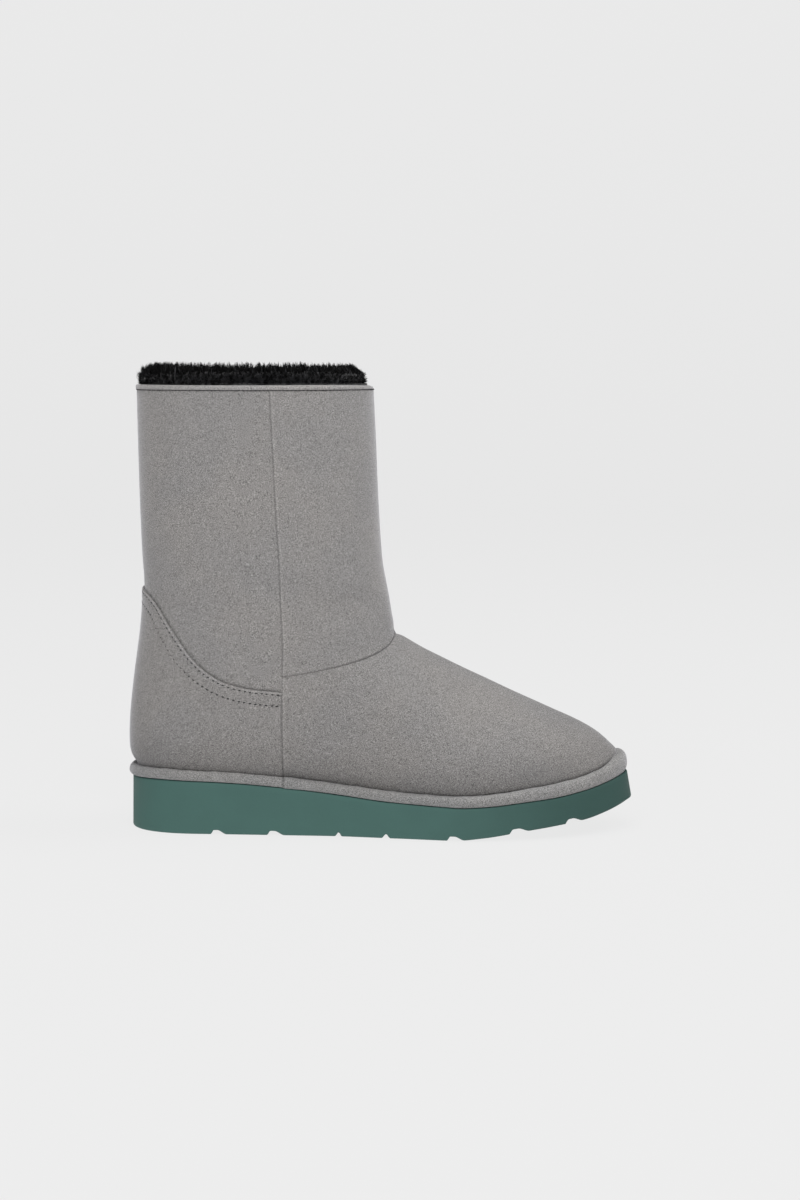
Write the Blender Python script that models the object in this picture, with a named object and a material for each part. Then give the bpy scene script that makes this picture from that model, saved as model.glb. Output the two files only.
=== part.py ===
"""Pull-on winter boot for the right foot: an EVA sole, a rolled rand, a suede upper with a heel counter
and a bound collar, a fleece insole and a deep fur collar.

Metres, +Z up. The toe points along +X and the inner (medial) side of the foot lies along +Y.
The origin is on the ground, under the middle of the sole's length.
"""

import bmesh
import bpy
import numpy as np

# Sole. The length and widths are those of its top edge.
SOLE_LENGTH = 0.2911
HEEL_WIDTH = 0.080
BALL_WIDTH = 0.108
TOE_SHIFT = 0.008
HEEL_THICKNESS = 0.0303
FOREFOOT_THICKNESS = 0.0155
TOE_SPRING = 0.017
SOLE_FLARE = 0.0024
SOLE_EDGE_RADIUS = 0.0030
GROOVE_DEPTH = 0.0024
GROOVE_WAVE = 0.0030

# Upper
UPPER_WALL = 0.0028
COLLAR_HEIGHT = 0.2598
COLLAR_LENGTH = 0.1384
COLLAR_WIDTH = 0.104
INSTEP_HEIGHT = 0.1150
SIDE_SEAM_HEIGHT = 0.0925
BACK_BLEND_HEIGHT = 0.104

# Overlays and trim
COUNTER_THICKNESS = 0.0010
COUNTER_PEAK_HEIGHT = 0.1412
COUNTER_SIDE_HEIGHT = 0.0842
RAND_HEIGHT = 0.0073
RAND_OVERHANG = 0.0012
RIM_WIDTH = 0.0045
BINDING_HEIGHT = 0.0033
BINDING_LEG = 0.0009
BINDING_PROUD = 0.0005
INSOLE_THICKNESS = 0.0050

# Fur collar: its pile's thickness, how far it stands above the collar and how far it reaches down inside.
FUR_PILE = 0.0130
FUR_RISE = 0.0094
FUR_DEPTH = 0.048
FUR_LOCK = 0.0022
FUR_SEED = 7

# Two pieces that touch are modelled this far apart.
GAP = 0.0003

# How far each side of the sole has spread from the heel's half width (0) to the ball's (1).
SOLE_PLAN = {
    "along": (0.00, 0.16, 0.40, 0.55, 0.68, 0.78, 1.00),
    "lateral": (0.00, 0.00, 0.04, 0.45, 0.92, 1.00, 1.00),
    "medial": (0.00, 0.00, -0.20, 0.20, 0.82, 1.00, 1.00),
}
HEEL_ROUND = (0.15, 2.2)
TOE_ROUND = (0.34, 2.05)

# The rim of the sole, from the heel to the toe: shares of RIM_WIDTH, which the upper stands inside the edge,
# of RAND_OVERHANG, which the rand swells outside it, and of RAND_HEIGHT.
SOLE_RIM = {
    "along": (0.00, 0.18, 0.80, 0.94, 1.00),
    "upper": (0.69, 1.00, 1.00, 1.11, 1.18),
    "rand": (1.58, 1.00, 0.92, 0.67, 0.42),
    "height": (1.00, 1.00, 1.00, 1.14, 1.85),
}

# The sole's thickness at shares of its length, from the forefoot's (0) to the heel's (1).
SOLE_SIDE = {
    "along": (0.00, 0.15, 0.33, 0.42, 0.54, 0.64, 0.74, 0.86, 0.93, 1.00),
    "build": (1.00, 1.00, 0.86, 0.70, 0.39, 0.23, 0.07, 0.03, 0.09, 0.03),
}

# The toe's spring: how far the underside has risen towards the tip.
SPRING = {
    "along": (0.00, 0.66, 0.72, 0.80, 0.86, 0.92, 0.96, 1.00),
    "rise": (0.00, 0.00, 0.09, 0.30, 0.44, 0.60, 0.79, 1.03),
}

# The grooves under the sole: their place and width as shares of its length.
GROOVES = {
    "along": (0.199, 0.313, 0.438, 0.531, 0.667, 0.793, 0.905),
    "width": (0.031, 0.034, 0.014, 0.017, 0.034, 0.041, 0.036),
}

# The shaft at shares of the collar's height: its back line as a share of the sole's length, its length and
# width as shares of the collar's, and the side seam's angle from the front, in degrees.
SHAFT = {
    "height": (0.329, 0.388, 0.446, 0.516, 0.609, 0.744, 0.872, 1.000),
    "back": (0.0077, 0.0132, 0.0201, 0.0249, 0.0215, 0.0173, 0.0146, 0.0125),
    "length": (1.156, 1.119, 1.078, 1.036, 1.018, 1.011, 1.007, 1.000),
    "width": (0.880, 0.886, 0.896, 0.915, 0.945, 0.978, 0.995, 1.000),
    "seam": (82.3, 81.9, 81.4, 80.8, 80.2, 79.4, 78.8, 78.4),
}
SHAFT_ROUNDNESS = 2.12

# The seam between shaft and vamp, from the front centre (0) to the side seam (1): share of its whole drop left.
VAMP_SEAM = {
    "round": (0.00, 0.13, 0.24, 0.385, 0.55, 0.67, 0.78, 0.91, 1.00),
    "drop": (1.00, 0.88, 0.72, 0.55, 0.38, 0.27, 0.17, 0.06, 0.00),
}

# The side profiles of the foot, from the back centre (0) past the side seam (SIDE_U) to the toe (1).
# lift and reach are the lengths of the curve's handles at the sole and at the seam, as shares of the
# instep height; lean tips the lower handle outwards; slope is the vamp's fall at the seam, in degrees,
# and vamp is how far the upper handle follows that slope instead of the shaft.
SIDE_U = 0.42
FOOT = {
    "around": (0.00, 0.20, 0.42, 0.55, 0.70, 0.85, 1.00),
    "lift": (0.13, 0.15, 0.19, 0.22, 0.25, 0.285, 0.31),
    "lean": (0.45, 0.42, 0.34, 0.22, 0.16, 0.14, 0.125),
    "reach": (0.26, 0.24, 0.20, 0.24, 0.36, 0.55, 0.74),
    "slope": (88.0, 88.0, 86.0, 70.0, 54.0, 40.0, 31.0),
    "vamp": (0.00, 0.00, 0.00, 0.45, 0.85, 1.00, 1.00),
}

# The top edge of the heel counter, from the back centre (0) to the side seam (1): share of its rise left.
COUNTER_EDGE = {
    "round": (0.00, 0.21, 0.33, 0.47, 0.59, 0.69, 0.76, 0.83, 1.00),
    "rise": (1.00, 0.945, 0.85, 0.60, 0.35, 0.17, 0.08, 0.015, 0.00),
}

# Sections, as shares of width and height: the rand's from the upper outwards, and the crown of the fur
# from the binding inwards.
RAND_SECTION = {
    "across": (0.00, 0.72, 0.95, 1.00, 0.90, 0.62, 0.22),
    "up": (0.00, 0.00, 0.22, 0.52, 0.82, 1.00, 0.93),
}
FUR_CROWN = {
    "across": (-0.10, 0.00, 0.22, 0.52, 0.80, 1.00),
    "up": (0.24, 0.56, 0.82, 0.98, 0.96, 0.62),
}

# Columns and rows of the solids.
REAR_COLUMNS = 13
FRONT_COLUMNS = 17
FOOT_ROWS = 9
SHAFT_ROWS = 8
INNER_ROWS = (0, 1, 3, 5, 7, 9, 11, 13, 15, 17)
COUNTER_ROWS = 12
SOLE_COLUMNS = 34
FUR_COLUMNS = 50
DENSE = 400

COLOURS = {
    "suede": (0.262, 0.253, 0.247),
    "rand_suede": (0.235, 0.230, 0.225),
    "teal_eva": (0.072, 0.148, 0.130),
    "black_fur": (0.012, 0.012, 0.013),
    "black_fleece": (0.020, 0.020, 0.021),
}
ROUGHNESS = {"suede": 0.92, "rand_suede": 0.92, "teal_eva": 0.55, "black_fur": 0.85, "black_fleece": 0.95}


def ease(table, key, column, at):
    """Smooth curve through a table's column, with no overshoot between its rows."""
    x = np.asarray(table[key], float)
    y = np.asarray(table[column], float)
    at = np.clip(np.asarray(at, float), x[0], x[-1])
    step = np.diff(y) / np.diff(x)
    slope = np.concatenate([step[:1], np.zeros(len(x) - 2), step[-1:]])
    same = step[:-1] * step[1:] > 0
    mean = 2 * step[:-1] * step[1:] / np.where(same, step[:-1] + step[1:], 1)
    slope[1:-1] = np.where(same, mean, 0)
    row = np.clip(np.searchsorted(x, at, side="right") - 1, 0, len(x) - 2)
    width = x[row + 1] - x[row]
    t = (at - x[row]) / width
    return (
        y[row] * (1 + 2 * t) * (1 - t) ** 2
        + slope[row] * width * t * (1 - t) ** 2
        + y[row + 1] * t * t * (3 - 2 * t)
        + slope[row + 1] * width * t * t * (t - 1)
    )


def unit(v):
    return v / np.maximum(np.linalg.norm(v, axis=-1, keepdims=True), 1e-12)


def along(x):
    """Share of the sole's length, from the heel, at a place on X."""
    return np.asarray(x) / SOLE_LENGTH + 0.5


def sole_bottom(x):
    return TOE_SPRING * ease(SPRING, "along", "rise", along(x))


def sole_top(x):
    build = ease(SOLE_SIDE, "along", "build", along(x))
    return sole_bottom(x) + FOREFOOT_THICKNESS + (HEEL_THICKNESS - FOREFOOT_THICKNESS) * build


def sole_plan(count):
    """Closed outline of the sole's top edge: back centre, lateral side, toe, medial side."""
    turn = np.arange(2 * count) / count
    share = (1 - np.cos(np.pi * turn)) / 2
    lateral = turn <= 1
    spread = np.where(
        lateral,
        ease(SOLE_PLAN, "along", "lateral", share),
        ease(SOLE_PLAN, "along", "medial", share),
    )
    half = HEEL_WIDTH / 2 + (BALL_WIDTH - HEEL_WIDTH) / 2 * spread
    heel, heel_power = HEEL_ROUND
    toe, toe_power = TOE_ROUND
    into_heel = np.clip(1 - share / heel, 0, 1)
    into_toe = np.clip((share - 1 + toe) / toe, 0, 1)
    half = half * (1 - into_heel**heel_power) ** (1 / heel_power)
    half = half * (1 - into_toe**toe_power) ** (1 / toe_power)
    centre = TOE_SHIFT * np.clip(2 * share - 1, 0, 1) ** 1.5
    return np.column_stack([(share - 0.5) * SOLE_LENGTH, centre + np.where(lateral, -half, half)])


def plan_normals(points):
    """Outward normals of a closed outline in plan that runs back, lateral, toe, medial."""
    run = unit(np.roll(points, -1, axis=0) - np.roll(points, 1, axis=0))
    return np.column_stack([run[:, 1], -run[:, 0]])


def outset(points, distance):
    return points + plan_normals(points) * np.reshape(distance, (-1, 1))


def walk(points, shares):
    """Points at shares of a line's length."""
    steps = np.linalg.norm(np.diff(points, axis=0), axis=1)
    run = np.concatenate([[0], np.cumsum(steps)])
    run /= run[-1]
    return np.column_stack([np.interp(shares, run, points[:, k]) for k in range(points.shape[1])])


def shaft_ring(angle, height):
    """Points of the shaft's outer face at angles from the front, in degrees, and heights."""
    share = height / COLLAR_HEIGHT
    back = (ease(SHAFT, "height", "back", share) - 0.5) * SOLE_LENGTH
    half_length = ease(SHAFT, "height", "length", share) * COLLAR_LENGTH / 2
    half_width = ease(SHAFT, "height", "width", share) * COLLAR_WIDTH / 2
    c, s = np.cos(np.radians(angle)), np.sin(np.radians(angle))
    power = 2 / SHAFT_ROUNDNESS
    x = back + half_length + half_length * np.sign(c) * np.abs(c) ** power
    y = half_width * np.sign(s) * np.abs(s) ** power
    return np.stack([x, y, np.broadcast_to(height, np.shape(x))], axis=-1)


def side_of(u):
    """-1 on the lateral side and +1 on the medial one, for u from 0 to 2 round the boot."""
    return np.where(np.mod(u, 2) <= 1, -1.0, 1.0)


def fold(u):
    """Place between the back centre (0) and the toe (1), whichever the side."""
    u = np.mod(np.asarray(u, float), 2)
    return np.where(u <= 1, u, 2 - u)


def shaft_angle(u, height):
    v = fold(u)
    seam = ease(SHAFT, "height", "seam", height / COLLAR_HEIGHT)
    rear = 180 + (seam - 180) * v / SIDE_U
    front = seam * (1 - v) / (1 - SIDE_U)
    return side_of(u) * np.where(v <= SIDE_U, rear, front)


def shaft_at(u, height):
    return shaft_ring(shaft_angle(u, height), height)


def blend_height(u):
    """Height where the foot's profiles join the shaft: the vamp seam in front, a plain level behind."""
    v = fold(u)
    drop = ease(VAMP_SEAM, "round", "drop", (1 - v) / (1 - SIDE_U))
    front = SIDE_SEAM_HEIGHT + (INSTEP_HEIGHT - SIDE_SEAM_HEIGHT) * drop
    into_rear = np.clip(1 - v / SIDE_U, 0, 1)
    rear = SIDE_SEAM_HEIGHT + (BACK_BLEND_HEIGHT - SIDE_SEAM_HEIGHT) * into_rear**2 * (3 - 2 * into_rear)
    return np.where(v <= SIDE_U, rear, front)


def feather_line(u):
    """Bottom edge of the upper's outer face, and its outward direction in plan."""
    edge = sole_plan(DENSE)
    edge = outset(edge, -RIM_WIDTH * ease(SOLE_RIM, "along", "upper", along(edge[:, 0])))
    seam_x = shaft_at(np.array([SIDE_U]), np.array([SIDE_SEAM_HEIGHT]))[0, 0]
    sides = {-1.0: edge[: DENSE + 1], 1.0: np.vstack([edge[:1], edge[: DENSE - 1 : -1]])}
    plan = np.zeros((len(u), 2))
    for side, line in sides.items():
        cut = int(np.searchsorted(line[:, 0], seam_x))
        here = side_of(u) == side
        v = fold(u)[here]
        rear = walk(line[: cut + 1], np.clip(v / SIDE_U, 0, 1))
        front = walk(line[cut:], np.clip((v - SIDE_U) / (1 - SIDE_U), 0, 1))
        plan[here] = np.where((v <= SIDE_U)[:, None], rear, front)
    nearest = np.argmin(np.linalg.norm(plan[:, None] - edge[None], axis=2), axis=1)
    return np.column_stack([plan, sole_top(plan[:, 0]) + GAP]), plan_normals(edge)[nearest]


def foot_columns(u, rows):
    """Profiles from the sole up to the vamp seam or the blend level: (len(u), rows, 3)."""
    foot, outward = feather_line(u)
    height = blend_height(u)
    seam = shaft_at(u, height)
    up = unit(shaft_at(u, height + 0.002) - seam)
    v = fold(u)
    lift, lean, reach, slope, vamp = (
        ease(FOOT, "around", name, v)[:, None] for name in ("lift", "lean", "reach", "slope", "vamp")
    )
    rise = np.tile([0.0, 0.0, 1.0], (len(u), 1))
    lower = np.column_stack([outward, np.zeros(len(u))]) * lean + rise
    to_foot = unit((foot - seam) * [1, 1, 0])
    fall = to_foot * np.cos(np.radians(slope)) - rise * np.sin(np.radians(slope))
    upper = unit(-up * (1 - vamp) + fall * vamp)
    near_foot = foot + lower * lift * INSTEP_HEIGHT
    near_seam = seam + upper * reach * INSTEP_HEIGHT
    t = np.linspace(0, 1, rows)[None, :, None]
    return (
        foot[:, None] * (1 - t) ** 3
        + near_foot[:, None] * 3 * t * (1 - t) ** 2
        + near_seam[:, None] * 3 * t * t * (1 - t)
        + seam[:, None] * t**3
    )


def shaft_columns(u, rows, top):
    """Profiles from the blend level up to a height near the collar: (len(u), rows, 3)."""
    start = blend_height(u)[:, None]
    height = start + (top - start) * np.linspace(0, 1, rows)[None]
    return shaft_at(np.broadcast_to(np.asarray(u)[:, None], height.shape), height)


def skin(u, foot_rows, shaft_rows, top):
    """The upper's outer face as a grid: columns round the boot, rows from the sole to top."""
    low = foot_columns(u, foot_rows)
    high = shaft_columns(u, shaft_rows, top)
    return np.concatenate([low, high[:, 1:]], axis=1)


def grid_normals(grid):
    """Outward normals of a grid whose columns run round the boot and whose rows run upwards."""
    turn = np.roll(grid, -1, axis=0) - np.roll(grid, 1, axis=0)
    return unit(np.cross(turn, np.gradient(grid, axis=1)))


def face_at(u, height):
    """Points of the outer face on columns u at given heights."""
    rows = skin(u, 60, 60, COLLAR_HEIGHT + 0.001)
    plan = [[np.interp(h, row[:, 2], row[:, k]) for k in (0, 1)] for h, row in zip(height, rows)]
    return np.column_stack([np.array(plan), height])


def skin_at(u, height):
    """Points and outward normals of the outer face on columns u at given heights."""
    turn = face_at(u + 0.004, height) - face_at(u - 0.004, height)
    rise = face_at(u, height + 0.0005) - face_at(u, height - 0.0005)
    return face_at(u, height), unit(np.cross(turn, rise))


def columns_round():
    """The u of every column of the upper, with one on each side seam and at each centre."""
    rear = np.linspace(0, SIDE_U, REAR_COLUMNS + 1)
    front = np.linspace(SIDE_U, 1, FRONT_COLUMNS + 1)
    lateral = np.concatenate([rear, front[1:]])
    return np.concatenate([lateral, 2 - lateral[-2:0:-1]])


def material(name):
    made = bpy.data.materials.get(name) or bpy.data.materials.new(name)
    made.use_nodes = True
    shader = made.node_tree.nodes["Principled BSDF"]
    shader.inputs["Base Color"].default_value = (*COLOURS[name], 1)
    shader.inputs["Roughness"].default_value = ROUGHNESS[name]
    shader.inputs["Metallic"].default_value = 0
    return made


def add_object(name, verts, faces, finish):
    """One closed solid as an object, its faces turned outwards."""
    mesh = bpy.data.meshes.new(name)
    mesh.from_pydata([tuple(map(float, v)) for v in verts], [], [tuple(map(int, f)) for f in faces])
    build = bmesh.new()
    build.from_mesh(mesh)
    bmesh.ops.recalc_face_normals(build, faces=build.faces)
    build.to_mesh(mesh)
    build.free()
    mesh.shade_smooth()
    mesh.set_sharp_from_angle(angle=np.radians(40))
    made = bpy.data.objects.new(name, mesh)
    bpy.context.scene.collection.objects.link(made)
    made.data.materials.append(material(finish))
    return made


def wall_faces(start, columns, rows, step):
    """Quads between rings of vertices that lie one after another, each a closed loop of columns."""
    faces = []
    for r in range(rows - 1):
        for i in range(columns):
            j = (i + 1) % columns
            low, high = start + r * step, start + (r + 1) * step
            faces.append((low + i, low + j, high + j, high + i))
    return faces


def strip_faces(start, columns):
    """Faces that close a ring of vertices with strips straight across it."""
    faces = []
    for i in range(columns // 2):
        corners = [i, i + 1, (columns - i - 1) % columns, (columns - i) % columns]
        faces.append(tuple(start + p for n, p in enumerate(corners) if p not in corners[:n]))
    return faces


def stack_rings(name, rings, finish):
    """A solid from closed rings, its first and last closed straight across."""
    count = len(rings[0])
    faces = wall_faces(0, count, len(rings), count)
    faces += strip_faces(0, count) + strip_faces((len(rings) - 1) * count, count)
    return add_object(name, np.vstack(rings), faces, finish)


def sweep_ring(name, sections, finish):
    """A closed hoop from its sections, an array (columns, points, 3)."""
    columns, around = sections.shape[:2]
    faces = []
    for i in range(columns):
        j = (i + 1) % columns
        for k in range(around):
            m = (k + 1) % around
            faces.append((i * around + k, j * around + k, j * around + m, i * around + m))
    return add_object(name, sections.reshape(-1, 3), faces, finish)


def build_sole():
    edge = sole_plan(SOLE_COLUMNS)
    top = sole_top(edge[:, 0])
    flare = SOLE_FLARE * (0.12 + 0.88 * np.clip((along(edge[:, 0]) - 0.15) / 0.85, 0, 1))
    rings = [np.column_stack([edge, top])]
    rings.append(np.column_stack([outset(edge, flare * 0.45), (top + sole_bottom(edge[:, 0])) / 2]))
    for turn in np.radians((0, 35, 90)):
        ring = outset(edge, flare - SOLE_EDGE_RADIUS * (1 - np.cos(turn)))
        height = sole_bottom(ring[:, 0]) + SOLE_EDGE_RADIUS * (1 - np.sin(turn))
        rings.append(np.column_stack([ring, height]))
    sole = stack_rings("outsole", rings, "teal_eva")
    cut = sole.modifiers.new("grooves", "BOOLEAN")
    cut.operation = "DIFFERENCE"
    cut.object = build_grooves()
    return sole


def build_grooves():
    """Wavy bars across the sole, flat on top with sloped sides, that cut its tread."""
    verts, faces = [], []
    reach = BALL_WIDTH * 0.75
    across = np.linspace(-reach, reach, 15)
    for place, width in zip(GROOVES["along"], GROOVES["width"]):
        centre = (place - 0.5) * SOLE_LENGTH
        half = width * SOLE_LENGTH / 2
        start = len(verts)
        for y in across:
            x = centre + GROOVE_WAVE * (np.cos(2 * np.pi * y / (BALL_WIDTH * 0.55)) - 1) / 2
            for side, level in ((-1, 0), (-0.45, 1), (0.45, 1), (1, 0), (1, -3), (-1, -3)):
                place_x = x + side * half
                verts.append((place_x, y, sole_bottom(place_x) + GROOVE_DEPTH * level))
        for i in range(len(across) - 1):
            for k in range(6):
                m = (k + 1) % 6
                a, b = start + i * 6, start + (i + 1) * 6
                faces.append((a + k, a + m, b + m, b + k))
        faces.append(tuple(start + k for k in range(6)))
        faces.append(tuple(start + (len(across) - 1) * 6 + k for k in range(6)))
    cutter = add_object("groove_cutter", verts, faces, "teal_eva")
    cutter.hide_render = True
    cutter.display_type = "WIRE"
    return cutter


def build_upper():
    """One hollow wall, open at the collar and underneath, with a thinner rim that the binding wraps."""
    shoulder = COLLAR_HEIGHT - BINDING_HEIGHT - GAP
    rim = COLLAR_HEIGHT - BINDING_LEG - GAP
    outer = skin(columns_round(), FOOT_ROWS + 1, SHAFT_ROWS + 1, shoulder)
    normals = grid_normals(outer)
    inner = outer - normals * UPPER_WALL
    inner[:, 0, 2] = sole_top(inner[:, 0, 0]) + GAP
    inner[:, -1, 2] = shoulder
    step = BINDING_LEG + GAP - BINDING_PROUD
    ledge = []
    for depth, height in ((step, shoulder), (step, rim), (UPPER_WALL - step, rim), (UPPER_WALL - step, shoulder)):
        ring = outer[:, -1] - normals[:, -1] * depth
        ring[:, 2] = height
        ledge.append(ring)
    inner = inner[:, INNER_ROWS[::-1]]
    return sweep_ring("upper", np.concatenate([outer, np.stack(ledge, axis=1), inner], axis=1), "suede")


def collar_sections(angle, profile):
    """Sections round the collar from a profile of (depth inside the outer face, height)."""
    sections = []
    for depth, height in profile:
        ring = shaft_ring(angle, np.full(len(angle), min(height, COLLAR_HEIGHT)))
        ring[:, :2] -= plan_normals(ring[:, :2]) * depth
        ring[:, 2] = height
        sections.append(ring)
    return np.stack(sections, axis=1)


def build_binding():
    """The U-shaped strip over the collar's rim."""
    low, top = COLLAR_HEIGHT - BINDING_HEIGHT, COLLAR_HEIGHT
    outside, inside = -BINDING_PROUD, UPPER_WALL + BINDING_PROUD
    profile = (
        (outside, low),
        (outside, top - 1.3 * BINDING_LEG),
        (outside + BINDING_LEG, top),
        (inside - BINDING_LEG, top),
        (inside, top - 1.3 * BINDING_LEG),
        (inside, low),
        (inside - BINDING_LEG, low),
        (inside - BINDING_LEG, top - BINDING_LEG),
        (outside + BINDING_LEG, top - BINDING_LEG),
        (outside + BINDING_LEG, low),
    )
    angle = shaft_angle(columns_round(), COLLAR_HEIGHT)
    return sweep_ring("collar_binding", collar_sections(angle, profile), "suede")


def build_counter():
    """The heel counter: an overlay round the back, from side seam to side seam, peaked at the back centre."""
    v = np.linspace(SIDE_U, -SIDE_U, 2 * REAR_COLUMNS + 1)
    u = np.mod(v, 2)
    share = np.abs(v) / SIDE_U
    rise = ease(COUNTER_EDGE, "round", "rise", share)
    edge = COUNTER_SIDE_HEIGHT + (COUNTER_PEAK_HEIGHT - COUNTER_SIDE_HEIGHT) * rise
    start = feather_line(u)[0][:, 2] + 2 * GAP
    clear = 1.6 * GAP
    thick = COUNTER_THICKNESS * np.clip((1 - share) / 0.06, 0.45, 1)[:, None]
    inside, outside = [], []
    for r in np.linspace(0, 1, COUNTER_ROWS) ** 1.3:
        point, normal = skin_at(u, start + (edge - start) * r)
        inside.append(point + normal * clear)
        outside.append(point + normal * (clear + thick))
    rings = inside + outside[::-1]
    count = len(u)
    faces = []
    for r in range(len(rings)):
        low, high = r * count, (r + 1) % len(rings) * count
        for i in range(count - 1):
            faces.append((low + i, low + i + 1, high + i + 1, high + i))
    last = len(rings) - 1
    for r in range(COUNTER_ROWS - 1):
        for i in (0, count - 1):
            corners = (r, r + 1, last - r - 1, last - r)
            faces.append(tuple(c * count + i for c in corners))
    return add_object("heel_counter", np.vstack(rings), faces, "suede")


def build_rand():
    """The rolled strip round the foot of the upper, lying on the sole's rim."""
    u = columns_round()
    foot, _ = feather_line(u)
    out = plan_normals(foot[:, :2])
    share = along(foot[:, 0])
    width = RIM_WIDTH * ease(SOLE_RIM, "along", "upper", share)
    width += RAND_OVERHANG * ease(SOLE_RIM, "along", "rand", share)
    height = RAND_HEIGHT * ease(SOLE_RIM, "along", "height", share)
    behind = np.clip((SIDE_U - fold(u)) / (0.03 * SIDE_U) + 1, 0, 1)
    clear = 1.3 * GAP + (COUNTER_THICKNESS + 1.4 * GAP) * behind
    sections = []
    for across, up in zip(RAND_SECTION["across"], RAND_SECTION["up"]):
        face, _ = skin_at(u, foot[:, 2] + height * up)
        inner = np.maximum(np.sum((face - foot)[:, :2] * out, axis=1), 0) + clear
        ring = foot.copy()
        ring[:, :2] += out * (inner + (width - inner) * across)[:, None]
        ring[:, 2] = sole_top(ring[:, 0]) + GAP + height * up
        sections.append(ring)
    return sweep_ring("rand", np.stack(sections, axis=1), "rand_suede")


def build_insole():
    """The fleece insole on the sole, inside the upper's foot."""
    foot, _ = feather_line(columns_round())
    rings = []
    for inset, up in ((0.0, 0.0), (0.0, 0.75), (0.32, 1.0)):
        ring = outset(foot[:, :2], -(UPPER_WALL + 3 * GAP + INSOLE_THICKNESS * inset))
        rings.append(np.column_stack([ring, sole_top(ring[:, 0]) + GAP + INSOLE_THICKNESS * up]))
    return stack_rings("insole", rings, "black_fleece")


def build_fur():
    """The deep fur collar: a sleeve inside the shaft whose crown is worked into locks."""
    back = UPPER_WALL + BINDING_PROUD + GAP
    top = COLLAR_HEIGHT
    profile = [(back, top - FUR_DEPTH), (back, top - FUR_DEPTH / 2), (back, top + GAP)]
    for across, up in zip(FUR_CROWN["across"], FUR_CROWN["up"]):
        profile.append((back + FUR_PILE * across, top + FUR_RISE * up))
    profile.append((back + FUR_PILE * 1.02, top - FUR_RISE * 0.4))
    profile.append((back + FUR_PILE * 0.65, top - FUR_DEPTH))
    angle = -180 + 360 * np.arange(FUR_COLUMNS) / FUR_COLUMNS
    fur = sweep_ring("fur_collar", collar_sections(angle, profile), "black_fur")
    chance = np.random.default_rng(FUR_SEED)
    build = bmesh.new()
    build.from_mesh(fur.data)
    crown = [f for f in build.faces if f.calc_center_median().z > top + FUR_RISE * 0.35]
    bmesh.ops.inset_individual(build, faces=crown, thickness=FUR_LOCK / 2, depth=0.0, use_even_offset=False)
    for face in crown:
        middle = face.calc_center_median()
        upward = np.clip((middle.z - top) / FUR_RISE, 0.3, 1)
        lean = face.normal * FUR_LOCK * upward * chance.uniform(0.45, 1.15)
        shift = chance.uniform(-0.32, 0.32, 3) * FUR_LOCK
        for vert in face.verts:
            vert.co = middle + (vert.co - middle) * 0.62 + lean
            vert.co.x += shift[0]
            vert.co.y += shift[1]
            vert.co.z += shift[2] * 0.5
    build.to_mesh(fur.data)
    build.free()
    return fur


def main():
    for old in list(bpy.data.objects):
        bpy.data.objects.remove(old)
    build_sole()
    build_upper()
    build_binding()
    build_counter()
    build_rand()
    build_insole()
    build_fur()


main()
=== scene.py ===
"""Looks of the pull-on winter boot for the right foot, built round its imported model.

Metres, in the model's frame: the toe along +X, the inner side of the foot along +Y, +Z up.
u runs round the boot from the back centre (0) past the outer side seam and the toe (1) to the inner side (2).
"""

import bmesh
import bpy
import numpy as np
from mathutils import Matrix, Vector


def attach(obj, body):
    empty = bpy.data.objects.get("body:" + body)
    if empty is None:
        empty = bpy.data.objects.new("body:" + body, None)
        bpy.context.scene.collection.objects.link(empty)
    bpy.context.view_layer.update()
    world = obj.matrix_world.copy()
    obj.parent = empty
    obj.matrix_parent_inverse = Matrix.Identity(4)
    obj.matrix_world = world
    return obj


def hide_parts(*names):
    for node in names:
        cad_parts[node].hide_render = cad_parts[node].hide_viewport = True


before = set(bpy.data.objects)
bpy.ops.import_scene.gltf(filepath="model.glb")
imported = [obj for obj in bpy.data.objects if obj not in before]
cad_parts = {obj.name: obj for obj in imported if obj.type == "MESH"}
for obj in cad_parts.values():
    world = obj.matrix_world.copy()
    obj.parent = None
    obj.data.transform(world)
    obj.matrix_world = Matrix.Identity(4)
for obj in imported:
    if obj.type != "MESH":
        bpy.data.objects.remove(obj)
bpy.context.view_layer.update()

# The boot's own sizes, as in its source.
SOLE_LENGTH = 0.2911
HEEL_WIDTH = 0.080
BALL_WIDTH = 0.108
TOE_SHIFT = 0.008
HEEL_THICKNESS = 0.0303
FOREFOOT_THICKNESS = 0.0155
TOE_SPRING = 0.017
SOLE_FLARE = 0.0024
SOLE_EDGE_RADIUS = 0.0014
GROOVE_DEPTH = 0.0024
GROOVE_WAVE = 0.0030
UPPER_WALL = 0.0028
COLLAR_HEIGHT = 0.2598
COLLAR_LENGTH = 0.1384
COLLAR_WIDTH = 0.104
INSTEP_HEIGHT = 0.1150
SIDE_SEAM_HEIGHT = 0.0925
BACK_BLEND_HEIGHT = 0.104
COUNTER_THICKNESS = 0.0010
COUNTER_PEAK_HEIGHT = 0.1412
COUNTER_SIDE_HEIGHT = 0.0842
RAND_HEIGHT = 0.0073
RAND_OVERHANG = 0.0012
RIM_WIDTH = 0.0045
BINDING_HEIGHT = 0.0033
BINDING_LEG = 0.0009
BINDING_PROUD = 0.0005
INSOLE_THICKNESS = 0.0050
FUR_PILE = 0.0130
FUR_RISE = 0.0094
FUR_DEPTH = 0.048
GAP = 0.0003

# The sole's outline: each side's half width from the heel's (0) to the ball's (1), and the round ends.
SOLE_PLAN = {
    "along": (0.00, 0.16, 0.40, 0.55, 0.68, 0.78, 1.00),
    "lateral": (0.00, 0.00, 0.04, 0.45, 0.92, 1.00, 1.00),
    "medial": (0.00, 0.00, -0.20, 0.20, 0.82, 1.00, 1.00),
}
# (share of the length that is rounded, power of its curve)
HEEL_ROUND = (0.15, 2.2)
TOE_ROUND = (0.34, 2.05)
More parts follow.
